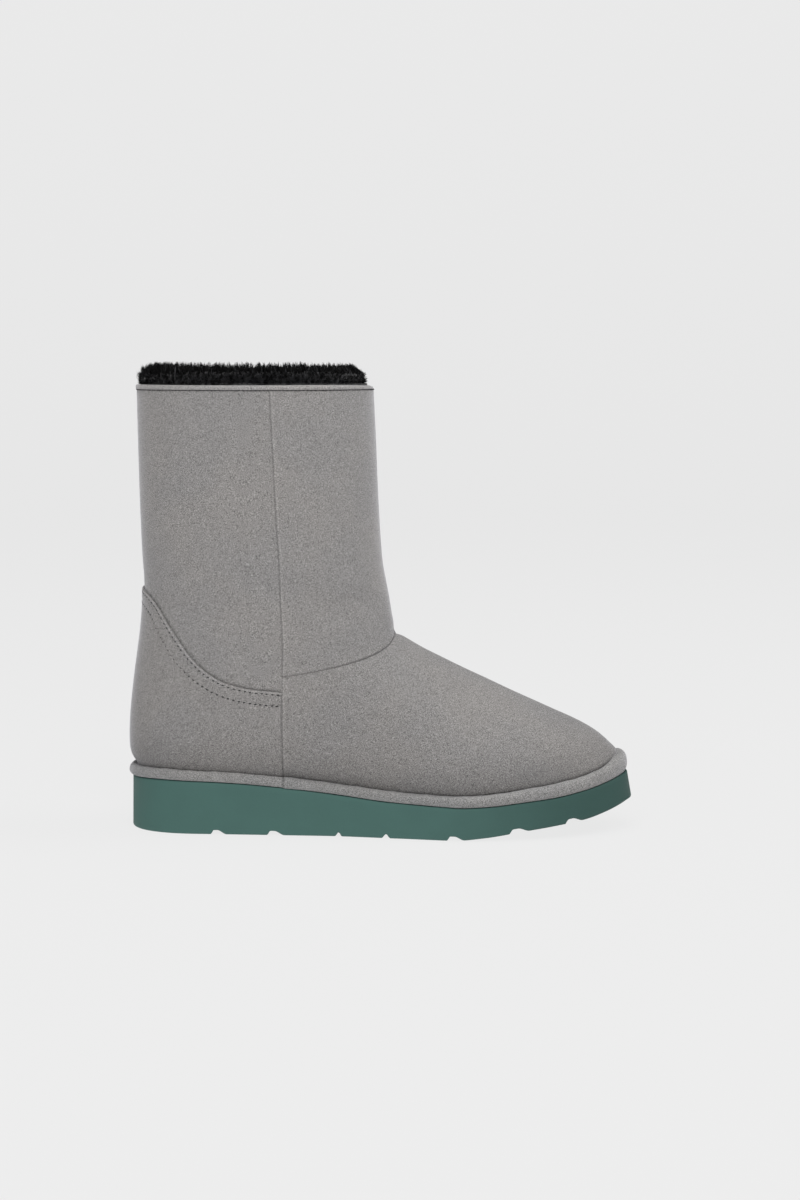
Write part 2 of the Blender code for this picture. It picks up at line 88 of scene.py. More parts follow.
# Shares of RIM_WIDTH inside the sole's edge, and of RAND_OVERHANG outside it.
SOLE_RIM = {
    "along": (0.00, 0.18, 0.80, 0.94, 1.00),
    "upper": (0.69, 1.00, 1.00, 1.11, 1.18),
    "rand": (1.58, 1.00, 0.92, 0.55, -0.25),
}
# The rand's height, as shares of RAND_HEIGHT.
RAND_SIDE = {
    "along": (0.00, 0.06, 0.20, 0.62, 0.72, 0.80, 0.88, 0.94, 1.00),
    "height": (0.90, 0.83, 0.82, 0.82, 0.90, 0.99, 1.08, 1.20, 1.85),
}
# The sole's thickness, from the forefoot's (0) to the heel's (1).
SOLE_SIDE = {
    "along": (0.00, 0.07, 0.14, 0.24, 0.34, 0.42, 0.54, 0.66, 0.76, 0.86, 0.93, 1.00),
    "build": (1.00, 1.05, 1.02, 0.935, 0.765, 0.59, 0.33, 0.205, 0.085, 0.02, 0.06, 0.03),
}
# The rise of its underside at the toe, as shares of TOE_SPRING.
SPRING = {
    "along": (0.00, 0.66, 0.72, 0.80, 0.86, 0.92, 0.96, 1.00),
    "rise": (0.00, 0.00, 0.09, 0.30, 0.44, 0.60, 0.79, 1.03),
}
# The grooves under the sole: middle and width, as shares of its length.
GROOVES = {
    "along": (0.199, 0.313, 0.438, 0.531, 0.667, 0.793, 0.905),
    "width": (0.031, 0.034, 0.014, 0.017, 0.034, 0.041, 0.036),
}
# The shaft's rings: height, length and width as shares of the collar's, the back as a share along the sole.
SHAFT = {
    "height": (0.329, 0.388, 0.446, 0.516, 0.609, 0.744, 0.872, 1.000),
    "back": (0.0077, 0.0132, 0.0201, 0.0249, 0.0215, 0.0173, 0.0146, 0.0125),
    "length": (1.156, 1.119, 1.078, 1.036, 1.018, 1.011, 1.007, 1.000),
    "width": (0.880, 0.886, 0.896, 0.915, 0.945, 0.978, 0.995, 1.000),
}
# The power of the rings' rounded outline: 2 is an ellipse, and more is squarer.
SHAFT_ROUNDNESS = 2.12
# Where the side seam is sewn: degrees from the front, at shares of the collar's height.
SIDE_SEAM = {
    "height": (0.330, 0.356, 0.385, 0.446, 0.516, 0.570, 0.620, 0.690, 0.800, 0.900, 1.000),
    "angle": (82.5, 82.3, 81.6, 80.7, 79.7, 78.8, 78.2, 78.2, 78.4, 78.7, 78.8),
}
# The vamp seam's fall from the instep (1) to the side seam (0).
VAMP_SEAM = {
    "round": (0.00, 0.13, 0.24, 0.385, 0.55, 0.67, 0.78, 0.91, 1.00),
    "drop": (1.00, 0.88, 0.72, 0.55, 0.38, 0.27, 0.17, 0.06, 0.00),
}
# The side seam's place u.
SIDE_U = 0.42
# The foot's curve from the rand to the seam: its start, its lean, its end's reach, and the vamp's slope.
FOOT = {
    "around": (0.00, 0.20, 0.42, 0.55, 0.70, 0.85, 1.00),
    "lift": (0.13, 0.15, 0.19, 0.22, 0.25, 0.285, 0.31),
    "lean": (0.45, 0.42, 0.34, 0.22, 0.16, 0.14, 0.125),
    "reach": (0.26, 0.24, 0.20, 0.24, 0.36, 0.55, 0.74),
    "slope": (88.0, 88.0, 86.0, 70.0, 54.0, 40.0, 31.0),
    "vamp": (0.00, 0.00, 0.00, 0.45, 0.85, 1.00, 1.00),
}
# The counter's edge from its peak at the back (1) down to the side seam (0).
COUNTER_EDGE = {
    "round": (0.00, 0.21, 0.33, 0.47, 0.59, 0.69, 0.78, 0.88, 1.00),
    "rise": (1.00, 0.945, 0.85, 0.60, 0.35, 0.178, 0.075, 0.018, -0.012),
}
# The tips of the fur, from the binding inwards and down into the shaft: shares of FUR_PILE and FUR_RISE.
FUR_TIPS = {
    "across": (-0.20, -0.17, -0.07, 0.11, 0.34, 0.65, 0.92, 1.05, 1.02, 0.90, 0.76, 0.68),
    "up": (-0.05, 0.44, 0.85, 1.06, 1.19, 1.22, 1.04, 0.52, -0.40, -2.00, -3.60, -5.00),
}

# How far the upper is drawn in just above the rand, from the back centre (0) to the toe (1).
TUCK = {
    "around": (0.00, 0.14, 0.30, 0.60, 1.00),
    "depth": (0.0026, 0.0022, 0.0013, 0.0011, 0.0003),
}
TUCK_HALF = 0.0052

# How far the collar's line sinks at its sides.
COLLAR_DIP = 0.0004
# At the front the binding's top edge stands lower, over half this angle, and is rolled over on both sides.
FRONT_DROP = 0.0006
FRONT_ANGLE = 30
FRONT_ROLL_OUT = 0.0022
FRONT_ROLL_IN = 0.0016

# How far back the side seam's foot stands from its top.
SEAM_LEAN = 0.0015
# The vamp is sunk over the toes: how far, where along the boot, and over what half length.
VAMP_SINK = 0.0014
VAMP_SINK_X = 0.101
VAMP_SINK_HALF = 0.036
# The toe is fuller just above the rand: by how much, how high above it, and over what half height.
TOE_FULL = 0.0012
TOE_FULL_RISE = 0.0015
TOE_FULL_HALF = 0.0042
# The shaft's front is fuller over the vamp seam, and the seam lies in a hollow below: (how far, at what
# height, over what half height).
THROAT_FULL = (0.0011, 0.1310, 0.0095)
THROAT_HOLLOW = (0.0010, 0.1158, 0.0032)

# The rand's rolled section, from its foot against the upper, out and over, back to the upper.
RAND_ROLL = {
    "turn": (0.00, 0.10, 0.22, 0.36, 0.50, 0.64, 0.78, 0.90, 1.00),
    "across": (0.00, 0.66, 0.92, 1.00, 0.97, 0.86, 0.62, 0.34, 0.00),
    "up": (0.00, 0.00, 0.15, 0.38, 0.58, 0.77, 0.92, 1.00, 0.97),
}
# Painted light and shade along the same section: lighter over its top, darker at its foot, on its outer side
# and where it tucks in against the upper.
RAND_PAINTED_LIGHT = {
    "turn": (0.00, 0.10, 0.22, 0.36, 0.50, 0.64, 0.78, 0.92, 1.00),
    "shade": (0.90, 1.02, 1.00, 0.94, 0.99, 1.06, 1.10, 1.04, 0.72),
}

# The rand's top stands this much higher on the inner side of the toe.
TOE_LIFT = 0.0024

# Seams: how deep and how wide (half) their grooves are, the lip beside them and how far off it stands, and
# half the width of their dark line.
SEAM_DEPTH = 0.00038
SEAM_HALF = 0.00042
SEAM_LIP = 0.00022
SEAM_LIP_AT = 0.0012
SEAM_LINE = 0.00040

# Soft creases of the suede, as ellipses on one side of the boot (-1 outer, 1 inner, 0 both): middle, the
# angle of the crease's run above +X, half its run and half its width, and its height (below 0: a trough).
CREASES = (
    # side, x, z, angle, run, half, height
    (0, -0.016, 0.131, -12, 0.034, 0.0085, -0.0007),
    (0, -0.012, 0.147, -8, 0.036, 0.0090, 0.0005),
    (0, -0.120, 0.150, 10, 0.030, 0.0100, -0.0005),
    (-1, -0.070, 0.128, 14, 0.036, 0.0100, -0.0005),
    (-1, -0.045, 0.160, -24, 0.030, 0.0110, 0.0004),
    (-1, -0.095, 0.185, 62, 0.040, 0.0140, 0.0004),
    (1, -0.070, 0.130, 10, 0.034, 0.0100, -0.0006),
    (1, -0.050, 0.158, -20, 0.030, 0.0100, 0.0004),
    (0, 0.022, 0.098, 62, 0.022, 0.0080, -0.0003),
    (0, 0.060, 0.080, 68, 0.022, 0.0090, 0.0002),
    (0, 0.098, 0.058, 66, 0.020, 0.0080, -0.0002),
    (-1, 0.030, 0.062, 20, 0.030, 0.0090, -0.0003),
    (1, 0.030, 0.060, 18, 0.030, 0.0090, -0.0003),
)

SEED = 11


def ease(table, column, at):
    """Smooth curve through a column of a table over its first one, with no overshoot between its rows."""
    x = np.asarray(next(iter(table.values())), float)
    y = np.asarray(table[column], float)
    at = np.clip(np.asarray(at, float), x[0], x[-1])
    step = np.diff(y) / np.diff(x)
    slope = np.concatenate([step[:1], np.zeros(len(x) - 2), step[-1:]])
    same = step[:-1] * step[1:] > 0
    mean = 2 * step[:-1] * step[1:] / np.where(same, step[:-1] + step[1:], 1)
    slope[1:-1] = np.where(same, mean, 0)
    row = np.clip(np.searchsorted(x, at, side="right") - 1, 0, len(x) - 2)
    width = x[row + 1] - x[row]
    t = (at - x[row]) / width
    return (
        y[row] * (1 + 2 * t) * (1 - t) ** 2
        + slope[row] * width * t * (1 - t) ** 2
        + y[row + 1] * t * t * (3 - 2 * t)
        + slope[row + 1] * width * t * t * (t - 1)
    )


def unit(v):
    """Vectors of length 1."""
    return v / np.maximum(np.linalg.norm(v, axis=-1, keepdims=True), 1e-12)


def smooth(low, high, at):
    """0 below low, 1 above high, and a smooth step between."""
    t = np.clip((np.asarray(at, float) - low) / (high - low), 0, 1)
    return t * t * (3 - 2 * t)


def bump(at, half):
    """1 at 0, falling off to both sides over half."""
    return np.exp(-((np.asarray(at) / half) ** 2))


# The boot's surfaces


def along(x):
    """Share of the sole's length, from the heel."""
    return np.asarray(x) / SOLE_LENGTH + 0.5


def sole_bottom(x):
    """Height of the sole's underside."""
    return TOE_SPRING * ease(SPRING, "rise", along(x))


def sole_top(x):
    """Height of its upper edge."""
    build = ease(SOLE_SIDE, "build", along(x))
    return sole_bottom(x) + FOREFOOT_THICKNESS + (HEEL_THICKNESS - FOREFOOT_THICKNESS) * build


def sole_plan(share):
    """Closed outline of the sole's top edge at shares of its length: back, outer side, toe, inner side."""
    share = np.concatenate([share, share[-2:0:-1]])
    lateral = np.arange(len(share)) <= len(share) // 2
    spread = np.where(lateral, ease(SOLE_PLAN, "lateral", share), ease(SOLE_PLAN, "medial", share))
    half = HEEL_WIDTH / 2 + (BALL_WIDTH - HEEL_WIDTH) / 2 * spread
    heel, heel_power = HEEL_ROUND
    toe, toe_power = TOE_ROUND
    into_heel = np.clip(1 - share / heel, 0, 1)
    into_toe = np.clip((share - 1 + toe) / toe, 0, 1)
    half = half * (1 - into_heel**heel_power) ** (1 / heel_power)
    half = half * (1 - into_toe**toe_power) ** (1 / toe_power)
    centre = TOE_SHIFT * np.clip(2 * share - 1, 0, 1) ** 1.5
    return np.column_stack([(share - 0.5) * SOLE_LENGTH, centre + np.where(lateral, -half, half)])


def plan_normals(points):
    """Outward directions of a closed line in plan."""
    run = unit(np.roll(points, -1, axis=0) - np.roll(points, 1, axis=0))
    return np.column_stack([run[:, 1], -run[:, 0]])


def outset(points, distance):
    """A closed line in plan moved outwards."""
    return points + plan_normals(points) * np.reshape(distance, (-1, 1))


def run_of(points):
    """Distance run along a line of points, at each of them."""
    return np.concatenate([[0], np.cumsum(np.linalg.norm(np.diff(points, axis=0), axis=1))])


def walk(points, shares):
    """Points at shares of the length of a line."""
    run = run_of(points)
    run /= run[-1]
    return np.column_stack([np.interp(shares, run, points[:, k]) for k in range(points.shape[1])])


def shaft_ring(angle, height):
    """Points of the shaft's outer face at angles from the front, in degrees."""
    share = height / COLLAR_HEIGHT
    back = (ease(SHAFT, "back", share) - 0.5) * SOLE_LENGTH
    half_length = ease(SHAFT, "length", share) * COLLAR_LENGTH / 2
    half_width = ease(SHAFT, "width", share) * COLLAR_WIDTH / 2
    c, s = np.cos(np.radians(angle)), np.sin(np.radians(angle))
    power = 2 / SHAFT_ROUNDNESS
    x = back + half_length + half_length * np.sign(c) * np.abs(c) ** power
    y = half_width * np.sign(s) * np.abs(s) ** power
    return np.stack([x, y, np.broadcast_to(height, np.shape(x))], axis=-1)


def side_of(u):
    """-1 on the outer side, 1 on the inner one."""
    return np.where(np.mod(u, 2) <= 1, -1.0, 1.0)


def fold(u):
    """The place on either side that matches u: 0 at the back, 1 at the toe."""
    u = np.mod(np.asarray(u, float), 2)
    return np.where(u <= 1, u, 2 - u)


def shaft_at(u, height):
    """Points of the shaft's outer face at places u."""
    v = fold(u)
    seam = ease(SIDE_SEAM, "angle", height / COLLAR_HEIGHT)
    rear = 180 + (seam - 180) * v / SIDE_U
    front = seam * (1 - v) / (1 - SIDE_U)
    return shaft_ring(side_of(u) * np.where(v <= SIDE_U, rear, front), height)


def blend_height(u):
    """Where the foot's curve ends and the shaft begins: along the vamp seam, and low round the back."""
    v = fold(u)
    drop = ease(VAMP_SEAM, "drop", (1 - v) / (1 - SIDE_U))
    front = SIDE_SEAM_HEIGHT + (INSTEP_HEIGHT - SIDE_SEAM_HEIGHT) * drop
    into_rear = np.clip(1 - v / SIDE_U, 0, 1)
    rear = SIDE_SEAM_HEIGHT + (BACK_BLEND_HEIGHT - SIDE_SEAM_HEIGHT) * into_rear**2 * (3 - 2 * into_rear)
    return np.where(v <= SIDE_U, rear, front)


PLAN_SHARES = (1 - np.cos(np.pi * np.arange(401) / 400)) / 2


def feather_line(u):
    """Bottom edge of the upper's outer face, and its outward direction in plan."""
    edge = sole_plan(PLAN_SHARES)
    edge = outset(edge, -RIM_WIDTH * ease(SOLE_RIM, "upper", along(edge[:, 0])))
    seam_x = shaft_at(np.array([SIDE_U]), np.array([SIDE_SEAM_HEIGHT]))[0, 0] - SEAM_LEAN
    sides = {-1.0: edge[:401], 1.0: np.vstack([edge[:1], edge[:399:-1]])}
    plan = np.zeros((len(u), 2))
    for side, line in sides.items():
        cut = int(np.searchsorted(line[:, 0], seam_x))
        here = side_of(u) == side
        v = fold(u)[here]
        rear = walk(line[: cut + 1], np.clip(v / SIDE_U, 0, 1))
        front = walk(line[cut:], np.clip((v - SIDE_U) / (1 - SIDE_U), 0, 1))
        plan[here] = np.where((v <= SIDE_U)[:, None], rear, front)
    nearest = np.argmin(np.linalg.norm(plan[:, None] - edge[None], axis=2), axis=1)
    return np.column_stack([plan, sole_top(plan[:, 0]) + GAP]), plan_normals(edge)[nearest]


def skin(u, foot_shares, shaft_shares, top):
    """The upper's outer face as a grid: columns round the boot, rows from the sole to top."""
    foot, outward = feather_line(u)
    height = blend_height(u)
    seam = shaft_at(u, height)
    up = unit(shaft_at(u, height + 0.002) - seam)
    v = fold(u)
    lift, lean, reach, slope, vamp = (
        ease(FOOT, name, v)[:, None] for name in ("lift", "lean", "reach", "slope", "vamp")
    )
    rise = np.tile([0.0, 0.0, 1.0], (len(u), 1))
    lower = np.column_stack([outward, np.zeros(len(u))]) * lean + rise
    to_foot = unit((foot - seam) * [1, 1, 0])
    fall = to_foot * np.cos(np.radians(slope)) - rise * np.sin(np.radians(slope))
    upper = unit(-up * (1 - vamp) + fall * vamp)
    near_foot = foot + lower * lift * INSTEP_HEIGHT
    near_seam = seam + upper * reach * INSTEP_HEIGHT
    t = np.asarray(foot_shares)[None, :, None]
    low = (
        foot[:, None] * (1 - t) ** 3
        + near_foot[:, None] * 3 * t * (1 - t) ** 2
        + near_seam[:, None] * 3 * t * t * (1 - t)
        + seam[:, None] * t**3
    )
    level = height[:, None] + (top - height[:, None]) * np.asarray(shaft_shares)[None]
    high = shaft_at(np.broadcast_to(np.asarray(u)[:, None], level.shape), level)
    return np.concatenate([low, high[:, 1:]], axis=1)


def grid_normals(grid):
    turn = np.roll(grid, -1, axis=0) - np.roll(grid, 1, axis=0)
    return unit(np.cross(turn, np.gradient(grid, axis=1)))


EVEN = np.linspace(0, 1, 141)


def face_grid(u, height):
    """Points of the outer face on columns u at a grid of heights (len(u), n)."""
    rows = skin(u, EVEN, EVEN, COLLAR_HEIGHT + 0.001)
    made = np.empty(height.shape + (3,))
    for row, level, out in zip(rows, height, made):
        for k in (0, 1):
            out[:, k] = np.interp(level, row[:, 2], row[:, k])
    made[..., 2] = height
    return made


def surface(u, height):
    """Points and outward normals of the creased outer face on columns u at a grid of heights."""
    point = face_grid(u, height)
    turn = face_grid(u + 0.004, height) - face_grid(u - 0.004, height)
    rise = face_grid(u, height + 0.0005) - face_grid(u, height - 0.0005)
    normal = unit(np.cross(turn, rise))
    return point + normal * dress(u, point)[..., None], normal


def over_rand(u, point):
    """Height above the rand's top edge of points on columns u."""
    foot = feather_line(np.asarray(u))[0]
    top = foot[:, 2] + RAND_HEIGHT * 0.95 * ease(RAND_SIDE, "height", along(foot[:, 0]))
    return point[..., 2] - top[:, None]


def tuck(u):
    """How far the upper is drawn in under the rand's top edge on columns u."""
    return ease(TUCK, "depth", fold(u))


def dress(u, point):
    """How far the finished outer face stands from the plain one on columns u: soft forms, creases and tuck."""
    low = over_rand(u, point)
    z = point[..., 2]
    v = fold(u)[:, None]
    sink = VAMP_SINK * bump(point[..., 0] - VAMP_SINK_X, VAMP_SINK_HALF)
    sink = sink * smooth(0.70, 0.95, v) * smooth(0, 0.008, low)
    full, full_height, full_half = THROAT_FULL
    hollow, hollow_height, hollow_half = THROAT_HOLLOW
    throat = full * bump(z - full_height, full_half)
    throat = throat - hollow * bump(z - hollow_height, hollow_half) * smooth(0.1120, 0.1145, z)
    throat = smooth(0.80, 0.97, v) * throat
    toe = TOE_FULL * smooth(0.86, 0.97, v) * bump(low - TOE_FULL_RISE, TOE_FULL_HALF)
    drawn_in = tuck(u)[:, None] * bump(np.maximum(low, 0), TUCK_HALF)
    return creases(point) + throat + toe - sink - drawn_in


def painted_crease_shade(low, x):
    """Painted shade: the darker line where the upper goes in behind the rand, deeper round the toe, and broad
    shade above it.
    """
    line = 0.30 + 0.22 * smooth(0.015, 0.065, x)
    return (1 - line * bump(low - 0.0002, 0.0008)) * (1 - 0.25 * bump(np.maximum(low, 0), 0.017))


def dip(point):
    """Points with the collar's line sunk a little at the sides."""
    point = np.array(point)
    back = (SHAFT["back"][-1] - 0.5) * SOLE_LENGTH
    c = (point[..., 0] - back - COLLAR_LENGTH / 2) / (COLLAR_LENGTH / 2)
    s = point[..., 1] / (COLLAR_WIDTH / 2)
    turn = (c * c - s * s) / np.maximum(c * c + s * s, 1e-9)
    near_top = smooth(COLLAR_HEIGHT - 0.030, COLLAR_HEIGHT - 0.004, point[..., 2])
    point[..., 2] -= COLLAR_DIP * (1 - turn) / 2 * near_top
    return point


def creases(point):
    """Height of the soft creases at points of the outer face."""
    made = np.zeros(point.shape[:-1])
    for side, x, z, angle, run, half, height in CREASES:
        c, s = np.cos(np.radians(angle)), np.sin(np.radians(angle))
        a = (point[..., 0] - x) * c + (point[..., 2] - z) * s
        b = (point[..., 2] - z) * c - (point[..., 0] - x) * s
        b = b + 0.06 * a * np.sin(a / run * 2.1 + x * 90)
        here = 1.0 if side == 0 else smooth(-0.006, 0.006, point[..., 1] * side)
        made += height * here * bump(b, half) * bump(a, run)
    return made


# Meshes and materials


def grid_faces(columns, rows, closed=True, hoop=False, start=0):
    """Quads of a grid stored column by column; closed joins its end columns, hoop its end rows."""
    i = np.arange(columns if closed else columns - 1)[:, None]
    k = np.arange(rows if hoop else rows - 1)[None]
    j, m = (i + 1) % columns, (k + 1) % rows
    corners = [i * rows + k, j * rows + k, j * rows + m, i * rows + m]
    return np.stack(corners, axis=-1).reshape(-1, 4) + start


def turns(count):
    """Even angles round the collar from the back, in degrees from the front."""
    return -180 + 360 * np.arange(count) / count


def add_piece(name, points, faces, finish, stands_for, values=None, merge=0.0, facet=None):
    """One mesh piece from points and arrays of faces, riding on the boot in place of a CAD node."""
    points = np.asarray(points, np.float32).reshape(-1, 3)
    groups = faces if isinstance(faces, list) else [faces]
    loops = np.concatenate([np.asarray(g).ravel() for g in groups])
    sizes = np.concatenate([np.full(len(g), np.shape(g)[1]) for g in groups])
    mesh = bpy.data.meshes.new(name)
    mesh.vertices.add(len(points))
    mesh.vertices.foreach_set("co", points.ravel())
    mesh.loops.add(len(loops))
    mesh.loops.foreach_set("vertex_index", loops.astype(np.int32))
    mesh.polygons.add(len(sizes))
    mesh.polygons.foreach_set("loop_start", (np.cumsum(sizes) - sizes).astype(np.int32))
    mesh.update(calc_edges=True)
    for label, value in (values or {}).items():
        layer = mesh.attributes.new(label, "FLOAT", "POINT")
        layer.data.foreach_set("value", np.asarray(value, np.float32).ravel())
    mesh.validate()
    if merge:
        build = bmesh.new()
        build.from_mesh(mesh)
        bmesh.ops.remove_doubles(build, verts=build.verts, dist=merge)
        build.to_mesh(mesh)
        build.free()
    mesh.shade_smooth()
    if facet:
        mesh.set_sharp_from_angle(angle=np.radians(facet))
    material, slot = finish
    mesh.materials.append(material)
    made = bpy.data.objects.new(name, mesh)
    bpy.context.scene.collection.objects.link(made)
    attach(made, "root")
    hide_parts(stands_for)


def add_node(tree, kind, **settings):
    """One shader node; a setting that starts with a capital is an input's value."""
    node = tree.nodes.new(kind)
    for key, value in settings.items():
        if key[0].isupper():
            node.inputs[key.replace("_", " ")].default_value = value
        else:
            setattr(node, key, value)
    return node


class Nodes:
    """Short hand for building one material's node tree."""

    def __init__(self, name, **constants):
        self.material = bpy.data.materials.new(name)
        self.material.use_nodes = True
        self.tree = self.material.node_tree
        self.shader = self.tree.nodes["Principled BSDF"]
        for socket, value in constants.items():
            self.shader.inputs[socket.replace("_", " ")].default_value = value
        self.object = self.add("ShaderNodeTexCoord").outputs["Object"]

    def add(self, kind, **settings):
        return add_node(self.tree, kind, **settings)

    def link(self, out, into):
        self.tree.links.new(out, into)

    def noise(self, scale, detail, rough, stretch=(1, 1, 1), shift=(0, 0, 0)):
        """Noise from 0 to 1 at scale features a metre."""
        node = self.add("ShaderNodeTexNoise", Scale=scale, Detail=detail, Roughness=rough)
        place = self.add("ShaderNodeMapping", Scale=stretch, Location=shift)
        self.link(self.object, place.inputs["Vector"])
        self.link(place.outputs["Vector"], node.inputs["Vector"])
        return node.outputs["Fac"]

    def attribute(self, name):
        return self.add("ShaderNodeAttribute", attribute_name=name).outputs["Fac"]

    def spread(self, value, low, high, to_low, to_high):
        """value from low..high mapped to to_low..to_high."""
        node = self.add("ShaderNodeMapRange", interpolation_type="SMOOTHSTEP", From_Min=low, From_Max=high)
        node.inputs["To Min"].default_value = to_low
        node.inputs["To Max"].default_value = to_high
        self.link(value, node.inputs["Value"])
        return node.outputs["Result"]

    def about(self, value, swing, low=0.3, high=0.7):
        """A factor about 1 that goes swing to each side."""
        return self.spread(value, low, high, 1 - swing, 1 + swing)

    def times(self, product, *factors):
        """The product of values."""
        for factor in factors:
            node = self.add("ShaderNodeMath", operation="MULTIPLY")
            self.link(product, node.inputs[0])
            self.link(factor, node.inputs[1])
            product = node.outputs["Value"]
        return product

    def mix(self, share, a, b):
        """Colour a where share is 0, b where it is 1."""
        node = self.add("ShaderNodeMix", data_type="RGBA")
        self.link(share, node.inputs[0])
        node.inputs[6].default_value = (*a, 1)
        node.inputs[7].default_value = (*b, 1)
        return node.outputs[2]

    def scale(self, colour, share):
        """A colour made lighter or darker by a value about 1."""
        node = self.add("ShaderNodeVectorMath", operation="SCALE")
        if isinstance(colour, tuple):
            node.inputs[0].default_value = colour
        else:
            self.link(colour, node.inputs[0])
        self.link(share, node.inputs["Scale"])
        return node.outputs["Vector"]

    def bump(self, height, distance, strength, after=None):
        node = self.add("ShaderNodeBump", Strength=strength, Distance=distance)
        self.link(height, node.inputs["Height"])
        if after:
            self.link(after, node.inputs["Normal"])
        return node.outputs["Normal"]

    def out(self, colour, roughness=None, normal=None):
        for value, socket in ((colour, "Base Color"), (roughness, "Roughness"), (normal, "Normal")):
            if value is not None:
                self.link(value, self.shader.inputs[socket])
        return self.material


def suede(name, tone, speckle=0.86, rough=0.00022):
    """Napped suede: fine fibres that catch the light, soft patches of nap, darker in its seams, and the
    painted light and shade of each piece's shade attribute.
    """
    n = Nodes(name, Roughness=0.92, Sheen_Weight=0.6, Sheen_Roughness=0.35, Specular_IOR_Level=0.18)
    n.shader.inputs["Sheen Tint"].default_value = (0.95, 0.95, 1.0, 1)
    fibre = n.noise(2700, 3.0, 0.66)
    cross = n.noise(1300, 2.0, 0.55, stretch=(1.0, 1.0, 0.5), shift=(3.1, 1.7, 0.4))
    patch = n.noise(120, 3.0, 0.55, shift=(0.2, 5.1, 1.3))
    broad = n.noise(22, 2.0, 0.5, shift=(7.3, 0.9, 2.2))
    nap = n.times(n.about(fibre, speckle, 0.28, 0.72), n.about(cross, 0.03))
    light = n.times(nap, n.about(patch, 0.015), n.about(broad, 0.025), n.attribute("shade"))
    warmer = tuple(c * k for c, k in zip(tone, (1.012, 1.0, 0.985)))
    colour = n.mix(n.spread(broad, 0.35, 0.65, 0.0, 1.0), tone, warmer)
    grain = n.bump(patch, 0.0003, 0.30, n.bump(fibre, rough, 0.55))
    return n.out(n.scale(colour, light), n.spread(fibre, 0.3, 0.7, 0.97, 0.86), grain)


def foam(name, tone):
    """Moulded EVA: satin, with faint mottling and a very fine skin, and the painted light and shade of its
    shade attribute.
    """
    n = Nodes(name, Roughness=0.6, Specular_IOR_Level=0.2)
    fine = n.noise(2400, 2.0, 0.5)
    patch = n.noise(60, 3.0, 0.5, shift=(1.2, 0.4, 3.3))
    light = n.times(n.about(fine, 0.025), n.about(patch, 0.025), n.attribute("shade"))
    return n.out(n.scale(tone, light), n.spread(patch, 0.3, 0.7, 0.56, 0.66), n.bump(fine, 0.00012, 0.5))


def fleece(name, tone, curl=420):
    """Short curly pile, with curl curls a metre."""
    n = Nodes(name, Roughness=0.95, Sheen_Weight=0.25, Sheen_Roughness=0.5, Specular_IOR_Level=0.15)
    curls = n.noise(curl, 4.0, 0.65)
    fine = n.noise(1500, 3.0, 0.6, shift=(2.0, 1.0, 0.0))
    light = n.times(n.spread(curls, 0.3, 0.7, 0.45, 1.6), n.spread(fine, 0.3, 0.7, 0.6, 1.5))
    return n.out(n.scale(tone, light), None, n.bump(fine, 0.0006, 0.7, n.bump(curls, 0.0022, 0.9)))


def fur(name, tone):
    """Black pile: some strands carry painted glints, and all are a little lighter towards the tips."""
    n = Nodes(name, Roughness=0.55, Specular_IOR_Level=0.11)
    strand = n.spread(n.attribute("strand"), 0.0, 1.0, 0.35, 20.0)
    return n.out(n.scale(tone, n.times(strand, n.spread(n.attribute("tip"), 0.0, 1.0, 0.5, 1.6))))


def thread(name, tone):
    """Twisted sewing thread."""
    n = Nodes(name, Roughness=0.7, Specular_IOR_Level=0.3)
    ply = n.noise(2600, 2.0, 0.6)
    return n.out(n.scale(tone, n.about(ply, 0.3)), None, n.bump(ply, 0.0002, 0.6))


# Each finish with the slot of the record that it belongs to.
SUEDE = suede("suede_grey", (0.272, 0.264, 0.259)), "suede"
SUEDE_RAND = suede("suede_rand", (0.274, 0.271, 0.268), 0.92, 0.00050), "rand_suede"
FOAM = foam("foam_teal", (0.067, 0.144, 0.127)), "teal_eva"
FLEECE = fleece("fleece_black", (0.011, 0.011, 0.012)), "black_fleece"
FUR = fur("fur_black", (0.0029, 0.0029, 0.0031)), "black_fur"
FUR_ROOT = fleece("fur_root", (0.007, 0.007, 0.008), 260), "black_fur"
THREAD = thread("thread_dark", (0.026, 0.026, 0.026)), "suede"


# Upper

# Extra columns of the upper stand at these shares to each side of the side seams.
NEAR_SEAM = (0.0010, 0.0020, 0.0030, 0.0045, 0.0065, 0.0090, 0.0130)


def clustered(low, high, step, at, offsets):
    """Even values from low to high, with extra ones close to at."""
    count = int(round((high - low) / step))
    even = np.linspace(low, high, count + 1)
    clear = even[(np.abs(even - at) > offsets[-1] * 1.2) | (even == low) | (even == high)]
    extra = [at] + [at + s * d for d in offsets for s in (-1, 1)]
    made = np.unique(np.round(np.concatenate([clear, extra]), 6))
    return made[(made >= low) & (made <= high)]


LATERAL = clustered(0.0, 1.0, 0.0062, SIDE_U, NEAR_SEAM)
ROUND = np.concatenate([LATERAL, 2 - LATERAL[-2:0:-1]])
SHOULDER = COLLAR_HEIGHT - BINDING_HEIGHT - GAP


def counter_edge(share):
    """Height of the heel counter's edge, from the back centre (0) to the side seam (1)."""
    rise = ease(COUNTER_EDGE, "rise", share)
    return COUNTER_SIDE_HEIGHT + (COUNTER_PEAK_HEIGHT - COUNTER_SIDE_HEIGHT) * rise


def across_edge(edge, top, rise):
    """rise over the counter's edge on columns that end in the points top, measured square to the edge."""
    slope = np.gradient(edge) / np.maximum(np.linalg.norm(np.gradient(top, axis=0), axis=-1), 1e-9)
    return rise / np.sqrt(1 + slope[:, None] ** 2)


